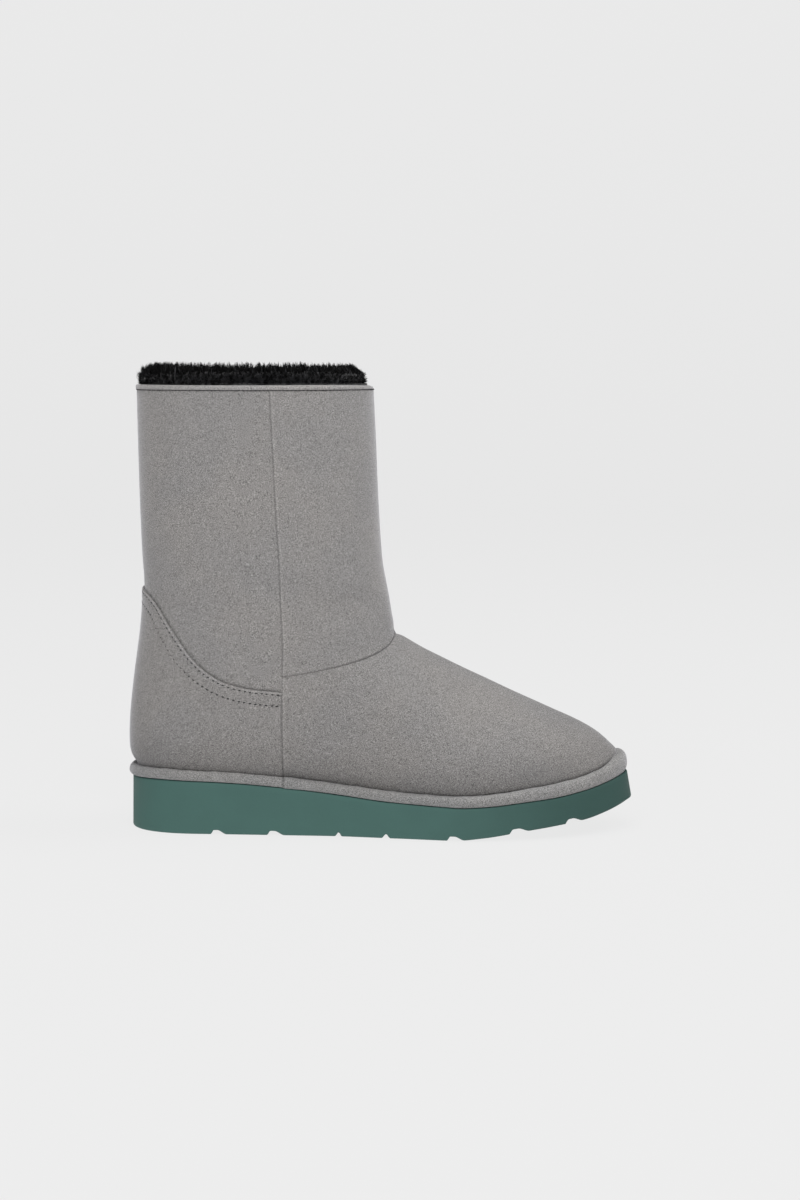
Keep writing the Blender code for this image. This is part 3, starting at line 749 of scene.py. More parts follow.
def upper_rows():
    """Rows of the foot and of the shaft as shares of their height, closer at the vamp seam and at the rim."""
    under_seam = 1 - np.array([0, 0.0012, 0.0025, 0.004, 0.0065, 0.01, 0.015, 0.022])
    over_seam = [0, 0.0018, 0.0036, 0.0055, 0.008, 0.012]
    rim = [0.978, 0.984, 0.988, 0.991, 0.994, 0.997, 1.0]
    foot = np.unique(np.concatenate([np.linspace(0, 0.97, 78), under_seam]))
    shaft = np.unique(np.concatenate([over_seam, np.linspace(0.018, 0.972, 84), rim]))
    return foot, shaft


def upper_painted_light(v, grid):
    """Painted light and shade before the seams: the crease at the rand, and three broad places (shade low on
    the vamp's side, light on the toe above the rand and on the shaft's front).
    """
    low = over_rand(ROUND, grid)
    x, z = grid[..., 0], grid[..., 2]
    shade = painted_crease_shade(low, x)
    shade *= 1 - 0.06 * bump(x + 0.015, 0.050) * bump(z - 0.058, 0.030)
    shade *= 1 + 0.10 * smooth(0.104, 0.132, x) * bump(np.maximum(low, 0), 0.018)
    shade *= 1 + 0.07 * smooth(0.72, 0.95, v) * smooth(0.118, 0.135, z)
    return shade


def build_upper():
    foot, shaft = upper_rows()
    grid = skin(ROUND, foot, shaft, SHOULDER)
    normals = grid_normals(grid)
    v = fold(ROUND)[:, None]
    z = grid[..., 2]
    relief = dress(ROUND, grid)
    shade = upper_painted_light(v, grid)
    edge = counter_edge(np.clip(v / SIDE_U, 0, 1))
    bare = smooth(-0.004, 0.0, z - edge)
    on_shaft = np.where(z > SIDE_SEAM_HEIGHT, 1, 0)
    front = np.where(v > SIDE_U, 1.0, 0.0)
    # the side seams: a groove, fainter on the foot and under the counter, with a lip on both sides, a dark
    # line, and a painted highlight on the front lip
    for seam_u in (SIDE_U, 2 - SIDE_U):
        column = int(np.argmin(np.abs(ROUND - seam_u)))
        near = np.linalg.norm(grid - grid[column][None], axis=-1)
        near = np.where(np.abs(ROUND[:, None] - seam_u) < 0.2, near, 1.0)
        groove = np.where(on_shaft, 1, 0.45)
        relief -= SEAM_DEPTH * bump(near, SEAM_HALF) * (0.4 + 0.6 * bare) * groove
        relief += SEAM_LIP * front * (bump(near - SEAM_LIP_AT, 0.0009) + 0.8 * bump(near, 0.0080))
        relief += SEAM_LIP * 0.3 * (1 - front) * bump(near - SEAM_LIP_AT, 0.0010)
        shade *= 1 - 0.24 * bump(near, SEAM_LINE) * (0.25 + 0.75 * bare) * (0.35 + 0.65 * on_shaft)
        shade *= 1 + 0.15 * front * bump(near - 0.0010, 0.0006)
    # the seam between shaft and vamp
    seam_row = len(foot) - 1
    near = np.linalg.norm(grid - grid[:, seam_row][:, None], axis=-1)
    near = np.where(v >= SIDE_U - 1e-6, near, 1.0)
    above = np.arange(grid.shape[1])[None] > seam_row
    relief -= SEAM_DEPTH * bump(near, SEAM_HALF)
    relief += SEAM_LIP * (bump(near - SEAM_LIP_AT, 0.0009) + 0.6 * bump(near, 0.006)) * above
    shade *= 1 - 0.30 * bump(near, SEAM_LINE)
    # the sewn line just under the binding, with painted shade under the tape's edge
    under = SHOULDER - z
    relief -= 0.00022 * bump(under - 0.0003, 0.0006)
    shade *= 1 - 0.08 * bump(under, 0.0008)
    # the shadow line above the heel counter
    over = across_edge(edge[:, 0], grid[:, -1], z - edge)
    shade *= np.where(v < SIDE_U - 0.001, 1 - 0.42 * bump(over - 0.0002, 0.00065), 1.0)

    # a coarser inner face, joined to the outer one along the sole and the rim
    outer = dip(grid + normals * relief[..., None])
    coarse = slice(None, None, 2)
    inner = outer[coarse][:, ::3] - normals[coarse][:, ::3] * (UPPER_WALL * 0.5)
    inner[:, 0, 2] = outer[coarse, 0, 2]
    columns, rows = outer.shape[:2]
    inner_columns, inner_rows = inner.shape[:2]
    start = columns * rows
    faces = [grid_faces(columns, rows), grid_faces(inner_columns, inner_rows, start=start)[:, ::-1]]
    i = np.arange(inner_columns)
    j = (i + 1) % inner_columns
    for level, inner_level, turn in ((0, 0, 1), (rows - 1, inner_rows - 1, -1)):
        a, b, c = 2 * i * rows + level, (2 * i + 1) * rows + level, (2 * j) * rows + level
        d, e = start + j * inner_rows + inner_level, start + i * inner_rows + inner_level
        faces.append(np.column_stack([a, e, d, c, b])[:, ::turn])
    # painted shade: the upper's inner face is made darker
    shades = np.concatenate([shade.ravel(), np.full(inner_columns * inner_rows, 0.8)])
    points = np.vstack([outer.reshape(-1, 3), inner.reshape(-1, 3)])
    add_piece("upper_shell", points, faces, SUEDE, "upper", {"shade": shades})


def build_lining():
    """The fleece inside the shaft and the foot."""
    u = np.linspace(0, 2, 180, endpoint=False)
    shares = np.linspace(0, 1, 40)
    grid = skin(u, shares, shares, COLLAR_HEIGHT - FUR_DEPTH + 0.004)
    normals = grid_normals(grid)
    chance = np.random.default_rng(SEED)
    rough = chance.uniform(-1, 1, grid.shape[:2])
    rough = (rough + np.roll(rough, 1, 0) + np.roll(rough, 1, 1)) / 3
    grid = grid + normals * dress(u, grid)[..., None]
    inner = grid - normals * (UPPER_WALL + 0.0004 * rough)[..., None]
    inner[:, 0, 2] = sole_top(inner[:, 0, 0]) + GAP
    back = grid - normals * (UPPER_WALL * 0.56)
    back[:, 0, 2] = inner[:, 0, 2]
    section = np.concatenate([back, inner[:, ::-1]], axis=1)
    columns, rows = section.shape[:2]
    i = np.arange(columns)
    j = (i + 1) % columns
    bottom = np.column_stack([i * rows + rows - 1, j * rows + rows - 1, j * rows, i * rows])
    faces = [grid_faces(columns, rows), bottom]
    add_piece("fleece_lining", section, faces, FLEECE, "upper")


# Heel counter and its stitches

COUNTER_COLUMNS = 261
# Its rows lie this far inside its edge, in millimetres, and evenly below the last.
COUNTER_INWARD = (0, 0.12, 0.35, 0.65, 1.05, 1.6, 2.4, 3.4, 4.6, 6.0, 7.6)
# How far inside the edge its two rows of stitches run, and how deep their threads are sunk.
COUNTER_ROWS = (0.0016, 0.0080)
COUNTER_SUNK = (0.00022, 0.00014)
STITCH_PITCH = 0.0032
# Its outer and inner face stand this many gaps off the upper.
COUNTER_OFF = 1.6
COUNTER_BACK_OFF = 1.4
# Metres for one unit of u beside the side seam, on the counter and on the rand.
COUNTER_RUN = 0.255
RAND_RUN = 0.30
# Threads: their length and radius, and how far their ends go in.
COUNTER_THREAD = (0.0018, 0.00036, 0.00030)
BINDING_THREAD = (0.0012, 0.00038, 0.00020)


def build_counter():
    v = np.linspace(SIDE_U - 0.0003, -SIDE_U + 0.0003, COUNTER_COLUMNS)
    u = np.mod(v, 2)
    edge = counter_edge(np.abs(v) / SIDE_U)
    start = feather_line(u)[0][:, 2] + 2 * GAP
    inward = np.array(COUNTER_INWARD) * 0.001
    levels = np.linspace(0, 1, 70)
    height = start[:, None] + (edge - inward[-1] - start)[:, None] * levels[None]
    height = np.concatenate([height, edge[:, None] - inward[::-1][None, 1:]], axis=1)
    point, normal = surface(u, height)
    below = across_edge(edge, point[:, -1], edge[:, None] - height)
    # a rounded edge, thinner at the side seams, puckered a little and pressed in along its stitches
    thick = COUNTER_THICKNESS * np.sqrt(np.clip(1 - (1 - np.clip(below / 0.0007, 0, 1)) ** 2, 0.02, 1))
    side = np.abs(SIDE_U - np.abs(v))[:, None] * COUNTER_RUN
    thick *= 0.45 + 0.55 * smooth(0, 0.004, side)
    thick *= 1 - 0.30 * smooth(0.0004, 0.0, side)
    pucker = np.cos(2 * np.pi * np.arange(COUNTER_COLUMNS)[:, None] / 1.7)
    pucker = 0.00012 * pucker * bump(below - 0.0035, 0.0025)
    for row in COUNTER_ROWS:
        thick = thick - 0.00028 * bump(below - row, 0.0008)
    outside = point + normal * (COUNTER_OFF * GAP + thick + pucker)[..., None]
    inside = point + normal * (COUNTER_BACK_OFF * GAP)
    # painted highlight on the lip just under its edge; painted shade at the crease by the rand and at its ends
    # by the side seams; a little darker overall
    shade = 1 + 0.24 * bump(below - 0.0006, 0.0006)
    shade = shade * painted_crease_shade(over_rand(u, point), point[..., 0]) * (0.96 - 0.10 * bump(side, 0.0005))
    section = np.concatenate([outside, inside[:, ::-1]], axis=1)
    columns, rows = section.shape[:2]
    faces = [grid_faces(columns, rows, closed=False)[:, ::-1]]
    k = np.arange(outside.shape[1] - 1)
    for first, turn in ((0, 1), ((columns - 1) * rows, -1)):
        end = np.column_stack([first + k, first + k + 1, first + rows - 2 - k, first + rows - 1 - k])
        faces.append(end[:, ::turn])
    i = np.arange(columns - 1)
    j = i + 1
    faces.append(np.column_stack([i * rows, j * rows, j * rows + rows - 1, i * rows + rows - 1]))
    shades = np.concatenate([shade, shade[:, ::-1]], axis=1)
    add_piece("heel_counter_panel", section, faces, SUEDE, "heel_counter", {"shade": shades})


def stitches(name, centre, normal, run, size, stands_for):
    """Short threads lying on a face: their middles, the face's normals and the seam's direction."""
    around, rings = 6, 5
    length, radius, sink = size
    t = np.linspace(-1, 1, rings)
    swell = np.sqrt(np.clip(1 - (t * 0.93) ** 2, 0, 1))
    side = np.cross(normal, run)
    angle = 2 * np.pi * np.arange(around) / around
    points = []
    for s, w in zip(t, swell):
        middle = centre + run * length / 2 * s
        middle = middle - normal * sink * s * s
        for a in angle:
            points.append(middle + (side * np.cos(a) + normal * np.sin(a)) * radius * w)
    points = np.stack(points, axis=1)
    first = (np.arange(len(centre)) * around * rings)[:, None]
    tube = grid_faces(rings, around, closed=False, hoop=True)[:, [0, 3, 2, 1]]
    faces = [(tube[None] + first[:, None]).reshape(-1, 4)]
    for ring, turn in ((0, -1), (rings - 1, 1)):
        cap = (ring * around + np.arange(around))[::turn]
        faces.append(cap[None] + first)
    add_piece(name, points, faces, THREAD, stands_for)


def counter_line(depth):
    """The line at a distance inside the counter's edge: its places v, heights and run round the boot."""
    v = np.linspace(-SIDE_U + 0.0005, SIDE_U - 0.0005, 1201)
    edge = counter_edge(np.abs(v) / SIDE_U)
    point = face_grid(np.mod(v, 2)[::12], edge[::12, None])[:, 0]
    run = np.interp(v, v[::12], run_of(point[:, :2]))
    line = np.column_stack([run, edge])
    tangent = unit(np.gradient(line, axis=0))
    inner = line + np.column_stack([tangent[:, 1], -tangent[:, 0]]) * depth
    inner = inner[np.concatenate([[True], np.diff(inner[:, 0]) > 0])]
    return np.interp(inner[:, 0], run, v), inner[:, 1], inner[:, 0]


def build_counter_stitches():
    chance = np.random.default_rng(SEED + 1)
    for label, depth, sunk in zip(("upper", "lower"), COUNTER_ROWS, COUNTER_SUNK):
        v, height, run = counter_line(depth)
        length = np.concatenate([[0], np.cumsum(np.hypot(np.diff(run), np.diff(height)))])
        count = int(length[-1] / STITCH_PITCH)
        at = (np.arange(count) + 0.5) * length[-1] / count
        at = at + chance.uniform(-0.00025, 0.00025, count)
        found = []
        for place in (at, at + 0.0008):
            there = np.interp(place, length, height)[:, None]
            found.append(surface(np.mod(np.interp(place, length, v), 2), there))
        point, normal, further = found[0][0][:, 0], found[0][1][:, 0], found[1][0][:, 0]
        tangent = unit(further - point)
        tilt = np.cross(normal, tangent)
        tangent = unit(tangent + tilt * (0.22 + chance.uniform(-0.08, 0.08, count))[:, None])
        centre = point + normal * (COUNTER_OFF * GAP + COUNTER_THICKNESS - sunk)
        name = "counter_stitches_" + label
        stitches(name, centre, normal, tangent, COUNTER_THREAD, "heel_counter")


# Binding

def collar_sections(angle, depth, height):
    """Sections round the collar from a profile of depths inside the outer face and heights."""
    sections = []
    for d, h in zip(depth, height):
        ring = shaft_ring(angle, np.full(len(angle), min(h, COLLAR_HEIGHT)))
        ring[:, :2] -= plan_normals(ring[:, :2]) * d
        ring[:, 2] = h
        sections.append(ring)
    return np.stack(sections, axis=1)


BINDING_COLUMNS = 420
BINDING_ROLL = 0.0012
BINDING_PITCH = 0.0023


def binding_profile(low, top):
    """The tape's section from its outer hem over the rim to the inner one: depths, heights, its two sides."""
    outside, inside = -BINDING_PROUD, UPPER_WALL + BINDING_PROUD
    bend = np.radians(np.linspace(0, 90, 7))
    over, back = 1 - np.cos(bend), top - BINDING_ROLL + BINDING_ROLL * np.sin(bend)
    hem = 0.0004
    under = [inside - BINDING_LEG, inside - BINDING_LEG, outside + BINDING_LEG, outside + BINDING_LEG]
    depth = np.concatenate(
        [
            [outside + hem, outside],
            outside + BINDING_ROLL * over,
            inside - BINDING_ROLL * over[::-1],
            [inside, inside - hem],
            under,
        ]
    )
    under = [low, top - BINDING_LEG, top - BINDING_LEG, low]
    height = np.concatenate([[low, low + hem], back, back[::-1], [low + hem, low], under])
    place = np.arange(len(depth))
    return depth, height, place < 9, (place >= 9) & (place < 16)


def build_binding():
    angle = turns(BINDING_COLUMNS)
    place = np.arange(BINDING_COLUMNS)
    low, top = COLLAR_HEIGHT - BINDING_HEIGHT, COLLAR_HEIGHT - 0.0005
    depth, height, outer, inner = binding_profile(low, top)
    grid = collar_sections(angle, depth, height)
    wave = 0.00014 * np.sin(place * 0.55) + 0.00010 * np.sin(place * 1.31 + 1)
    out = plan_normals(grid[:, 1, :2])
    puffed = bump(np.arange(len(depth)) - 5, 3.0)
    grid[..., :2] += out[:, None] * (wave[:, None] * puffed[None])[..., None]
    grid = dip(grid)
    up = np.clip((height - low) / (top - low), 0, 1)
    front = bump(angle, FRONT_ANGLE)[:, None]
    grid[..., 2] -= FRONT_DROP * front * up[None]
    rolled = np.where(inner, FRONT_ROLL_IN * up**2, 0)
    rolled = np.where(outer, BINDING_PROUD + FRONT_ROLL_OUT * up**1.6, rolled)
    grid[..., :2] -= out[:, None] * (front * rolled[None])[..., None]
    # painted shade darkens the tape's lower hem; above it the tape is made lighter than the shaft, most at its
    # top
    shade = np.ones(grid.shape[:2]) * np.interp(height, [low, low + 0.0008, top], [0.94, 1.20, 1.26])[None]
    faces = grid_faces(BINDING_COLUMNS, len(depth), hoop=True)
    add_piece("binding_tape", grid, faces, SUEDE, "collar_binding", {"shade": shade})

    # the sewn line at its lower edge
    chance = np.random.default_rng(SEED + 2)
    ring = shaft_ring(angle, np.full(BINDING_COLUMNS, low))
    length = run_of(np.vstack([ring, ring[:1]]))
    count = int(length[-1] / BINDING_PITCH)
    at = (np.arange(count) + chance.uniform(-0.12, 0.12, count)) % count * length[-1] / count
    here = np.interp(at, length, np.append(angle, 180.0))
    ring = shaft_ring(here, np.full(count, low - 0.0001))
    level = np.full(count, low)
    tangent = unit(shaft_ring(here + 0.2, level) - shaft_ring(here - 0.2, level))
    normal = np.column_stack([tangent[:, 1], -tangent[:, 0], np.zeros(count)])
    tangent = unit(tangent + [0, 0, 0.10])
    ring[:, 2] += chance.uniform(-0.00012, 0.00012, count)
    centre = dip(ring) - normal * 0.00004
    stitches("binding_stitches", centre, normal, tangent, BINDING_THREAD, "collar_binding")


# Rand

def build_rand():
    foot, _ = feather_line(ROUND)
    out = plan_normals(foot[:, :2])
    share = along(foot[:, 0])
    v = fold(ROUND)
    past_seam = (v - SIDE_U) * RAND_RUN
    turn = np.linspace(0, 1, 24)
    across = ease(RAND_ROLL, "across", turn)
    # its width and height, uneven as a strip rolled by hand, and higher on the inner side of the toe
    width = RIM_WIDTH * ease(SOLE_RIM, "upper", share)
    width = width + RAND_OVERHANG * ease(SOLE_RIM, "rand", share)
    height = RAND_HEIGHT * ease(RAND_SIDE, "height", share)
    height *= 1 + 0.016 * (np.sin(ROUND * 47.0) + np.sin(ROUND * 118.0 + 1) + 0.8 * np.sin(ROUND * 233.0 + 2))
    wave = 0.00016 * np.sin(ROUND * 37.0 + 0.6)
    wave = wave + 0.00012 * np.sin(ROUND * 91.0) + 0.00008 * np.sin(ROUND * 173.0 + 2)
    toe = smooth(0.955, 1.0, share)[:, None]
    up = ease(RAND_ROLL, "up", turn)
    up = up[None] + toe * (0.24 * (1 - across) - 0.10 * across)[None] * smooth(0.15, 0.55, turn)[None]
    height = height + TOE_LIFT * toe[:, 0] * smooth(0.0, 0.020, foot[:, 1])
    # its inner face follows the upper, and the counter behind the side seams
    behind = np.clip((SIDE_U - v) / (0.03 * SIDE_U) + 1, 0, 1)
    clear = 0.6 * GAP - tuck(ROUND) + (COUNTER_THICKNESS + 1.2 * GAP) * behind
    heights = foot[:, 2][:, None] + height[:, None] * up
    face = face_grid(ROUND, np.maximum(heights, foot[:, 2][:, None] + 1e-5))
    inner = np.sum((face - foot[:, None])[..., :2] * out[:, None], axis=-1) + clear[:, None]
    inner = np.minimum(inner, width[:, None] * 0.9)
    reach = inner + (width[:, None] - inner) * across[None]
    # at each side seam its two ends overlap, and the front one hangs a little
    overlap = smooth(0.0, 0.0008, past_seam)
    swell = 0.00028 * (overlap - 0.5) * bump(past_seam, 0.012)
    joint = bump((v - SIDE_U - 0.0012) * RAND_RUN, 0.00045)
    reach = reach + (wave + swell - 0.0005 * joint)[:, None] * np.sin(np.pi * turn)[None]
    hang = 0.0006 * (overlap * bump(past_seam, 0.010))[:, None]
    grid = np.repeat(foot[:, None], len(turn), axis=1)
    grid[..., :2] += out[:, None] * reach[..., None]
    grid[..., 2] = sole_top(grid[..., 0]) + GAP + height[:, None] * up
    grid[..., 2] -= hang * bump(turn - 0.22, 0.16)[None] * np.clip(across, 0, 1)[None]
    # a dark line where its ends meet at each side seam, and painted light and shade across its roll
    shade = np.ones(grid.shape[:2]) * (1 - 0.40 * joint)[:, None]
    shade = shade * np.interp(turn, RAND_PAINTED_LIGHT["turn"], RAND_PAINTED_LIGHT["shade"])[None]
    faces = grid_faces(len(ROUND), len(turn), hoop=True)
    add_piece("rand_roll", grid, faces, SUEDE_RAND, "rand", {"shade": shade})


# Sole and insole

SOLE_LIP = 0.0008
TREAD_DEPTH = 0.0007
TREAD_PITCH = 0.0042
TREAD_WAVE = 0.018
SOLE_SHARES = np.concatenate([(1 - np.cos(np.pi * np.arange(81) / 80)) / 2, np.linspace(0.03, 0.985, 330)])
SOLE_SHARES = np.unique(np.round(SOLE_SHARES, 6))


def groove_rise(x, y):
    """How far the grooves under the sole are cut up into it."""
    made = np.zeros(np.shape(x))
    bend = GROOVE_WAVE * (np.cos(2 * np.pi * y / (BALL_WIDTH * 0.55)) - 1) / 2
    for place, width in zip(GROOVES["along"], GROOVES["width"]):
        t = (x - ((place - 0.5) * SOLE_LENGTH + bend)) / (width * SOLE_LENGTH / 2)
        if width > 0.02:
            cut = smooth(-1.0, -0.62, t) * (1 - smooth(-0.15, 1.05, t))
        else:
            cut = smooth(-1.0, 0.1, t) * (1 - smooth(0.1, 1.0, t))
        made = np.maximum(made, cut)
    return made * GROOVE_DEPTH


def sole_rings():
    """The sole's side as rings from its rounded lip down to its rounded foot, and how light each is, painted:
    lighter at the lip, darker on the foot.
    """
    edge = sole_plan(SOLE_SHARES)
    top, base = sole_top(edge[:, 0]), sole_bottom(edge[:, 0])
    flare = SOLE_FLARE * (0.12 + 0.88 * np.clip((along(edge[:, 0]) - 0.15) / 0.85, 0, 1))
    rings, shades = [], []
    for turn in np.radians((90, 60, 30, 0)):
        ring = outset(edge, -SOLE_LIP * (1 - np.cos(turn)))
        rings.append(np.column_stack([ring, top - SOLE_LIP * (1 - np.sin(turn))]))
        shades.append(1.05)
    for share in np.linspace(0.12, 0.94, 12):
        level = (top - SOLE_LIP) * (1 - share) + (base + SOLE_EDGE_RADIUS) * share
        rings.append(np.column_stack([outset(edge, flare * share), level]))
        shades.append(1.0)
    for turn in np.radians((0, 18, 36, 54, 72, 90)):
        ring = outset(edge, flare - SOLE_EDGE_RADIUS * (1 - np.cos(turn)))
        level = sole_bottom(ring[:, 0]) + SOLE_EDGE_RADIUS * (1 - np.sin(turn))
        rings.append(np.column_stack([ring, level]))
        shades.append(1.0 - 0.08 * np.sin(turn))
    return np.stack(rings, axis=1), np.array(shades)


def build_sole():
    grid, light = sole_rings()
    count, rings = grid.shape[:2]
    foot = sole_bottom(grid[..., 0])
    share = np.clip((grid[..., 2] - foot) / np.maximum(sole_top(grid[..., 0]) - foot, 1e-6), 0, 1)
    grid[..., 2] += groove_rise(grid[..., 0], grid[..., 1]) * (1 - share) ** 1.5
    points = [grid.reshape(-1, 3)]
    shade = [np.tile(light, count)]
    faces = [grid_faces(count, rings)[:, ::-1]]
    # strips straight across the top, and across the bottom with its grooves and fine wavy tread
    stations = count // 2 + 1
    left = np.arange(stations)
    right = (count - left) % count
    for ring, steps, turn in ((0, 8, -1), (rings - 1, 44, 1)):
        start = sum(len(p) for p in points)
        share = np.linspace(0, 1, steps + 1)[1:-1]
        a, b = grid[left, ring], grid[right, ring]
        inner = a[:, None] + (b - a)[:, None] * share[None, :, None]
        if ring:
            x, y = inner[..., 0], inner[..., 1]
            inner[..., 2] = sole_bottom(x) + groove_rise(x, y)
            from_edge = np.minimum(share, 1 - share)[None] * np.linalg.norm(b - a, axis=1)[:, None]
            tread = np.sin(x * 2 * np.pi / TREAD_PITCH + 1.6 * np.sin(y * 2 * np.pi / TREAD_WAVE))
            inner[..., 2] += TREAD_DEPTH * smooth(0.1, 0.9, tread) * smooth(0, 0.004, from_edge)
        points.append(inner.reshape(-1, 3))
        # painted shade: the top and bottom strips are made darker
        shade.append(np.full(inner.shape[0] * inner.shape[1], 0.9))
        index = np.empty((stations, steps + 1), int)
        index[:, 0] = left * rings + ring
        index[:, -1] = right * rings + ring
        index[:, 1:-1] = start + np.arange(stations * (steps - 1)).reshape(stations, steps - 1)
        quads = np.stack([index[:-1, :-1], index[1:, :-1], index[1:, 1:], index[:-1, 1:]], axis=-1)
        faces.append(quads.reshape(-1, 4)[:, ::-turn])
    points = np.vstack(points)
    # painted shade: the foam is made darker towards the toe
    shade = np.concatenate(shade) * (1 - 0.40 * smooth(0.58, 0.97, along(points[:, 0])))
    look = {"shade": shade}
    add_piece("outsole_body", points, faces, FOAM, "outsole", look, merge=1e-6, facet=50)


# The footbed's rings from its edge inwards: how far in, and their share of its thickness.
INSOLE_IN = (0.0, 0.0, 0.12, 0.32, 0.9, 1.8, 3.0, 4.4, 6.2)
INSOLE_UP = (0.0, 0.6, 0.9, 1.0, 1.0, 1.0, 1.0, 1.0, 1.0)


def build_insole():
    foot, _ = feather_line(np.linspace(0, 2, 240, endpoint=False))
    chance = np.random.default_rng(SEED + 3)
    count = len(foot)
    rings = []
    for inwards, up in zip(INSOLE_IN, INSOLE_UP):
        ring = outset(foot[:, :2], -(UPPER_WALL + 3 * GAP + INSOLE_THICKNESS * min(inwards, 0.4)))
        middle = np.column_stack([ring[:, 0], np.zeros(count)])
        ring = ring + (middle - ring) * (max(inwards - 0.4, 0) / 6.6)
        level = sole_top(ring[:, 0]) + GAP + INSOLE_THICKNESS * up
        if up == 1.0:
            level = level + chance.uniform(-0.0003, 0.0001, count)
        rings.append(np.column_stack([ring, level]))
    rows = len(rings)
    faces = [grid_faces(count, rows)]
    i = np.arange(count // 2)
    strip = np.column_stack([i, i + 1, (count - i - 1) % count, (count - i) % count]) * rows
    for ring, turn in ((0, 1), (rows - 1, -1)):
        faces.append((strip + ring)[:, ::turn])
    grid = np.stack(rings, axis=1)
    add_piece("footbed_fleece", grid, faces, FLEECE, "insole", merge=1e-6)


# Fur collar

COLLAR_ANGLES = turns(720)
# Depth of the fur's back inside the upper's outer face.
FUR_BACK = UPPER_WALL + BINDING_PROUD + GAP
# The share of the crown that hairs grow on, the clumps round the collar and across it, and how far a
# hair's tip is drawn to the middle of its clump.
FUR_SPAN = 0.80
CLUMPS = (330, 16)
TO_MIDDLE = 0.84
HAIR_RADIUS = 0.00016
# How low the ground and the roots lie under the crown, as shares of its height.
GROUND_SHARE = 0.62
ROOT_SHARE = 0.55


def crown(share):
    """Depth inside the binding and height above the collar at shares of the crown, from outside to inside."""
    line = np.column_stack([np.array(FUR_TIPS["across"]) * FUR_PILE, np.array(FUR_TIPS["up"]) * FUR_RISE])
    return walk(line, share)


def collar_point(angle, depth, height):
    """Points inside the collar at angles, depths inside the outer face and heights over the collar."""
    ring = shaft_ring(COLLAR_ANGLES, np.full(len(COLLAR_ANGLES), COLLAR_HEIGHT))
    normal = plan_normals(ring[:, :2])
    closed = np.append(COLLAR_ANGLES, 180.0)
    made = []
    for column in (ring[:, 0], ring[:, 1], normal[:, 0], normal[:, 1]):
        made.append(np.interp(angle, closed, np.append(column, column[0])))
    out = unit(np.column_stack(made[2:]))
    plan = np.column_stack(made[:2]) - out * np.reshape(depth, (-1, 1))
    return np.column_stack([plan, COLLAR_HEIGHT + height]), np.column_stack([out, np.zeros(len(out))])


def inset(angle, depth):
    """The pile leans out over the binding at the back and stands inside it at the front."""
    return 0.0030 * (1 + np.cos(np.radians(angle))) / 2 * (1 - smooth(0.0, 0.009, depth))


def build_fur_base():
    """The dark ground that the hairs stand on, lower than their tips, and its back against the binding."""
    columns, rows = 300, 34
    angle = turns(columns)
    profile = crown(np.linspace(0, 1, rows))
    depth, height = profile[:, 0], profile[:, 1]
    height = np.where(height > 0, height * GROUND_SHARE, height)
    depth = np.where(depth < 0, depth * 0.35, depth * np.where(height < 0, 0.88, 0.95))
    chance = np.random.default_rng(SEED + 4)
    grid = []
    for d, h in zip(depth, height):
        lump = chance.uniform(-0.0005, 0.0003, columns)
        grid.append(collar_point(angle, FUR_BACK + d + lump + inset(angle, d), h + lump * 0.8)[0])
    for h in (-FUR_DEPTH + 0.0003, 0.0):
        grid.append(collar_point(angle, np.full(columns, FUR_BACK), np.full(columns, h))[0])
    faces = grid_faces(columns, rows + 2, hoop=True)
    add_piece("fur_base", np.stack(grid, axis=1), faces, FUR_ROOT, "fur_collar")


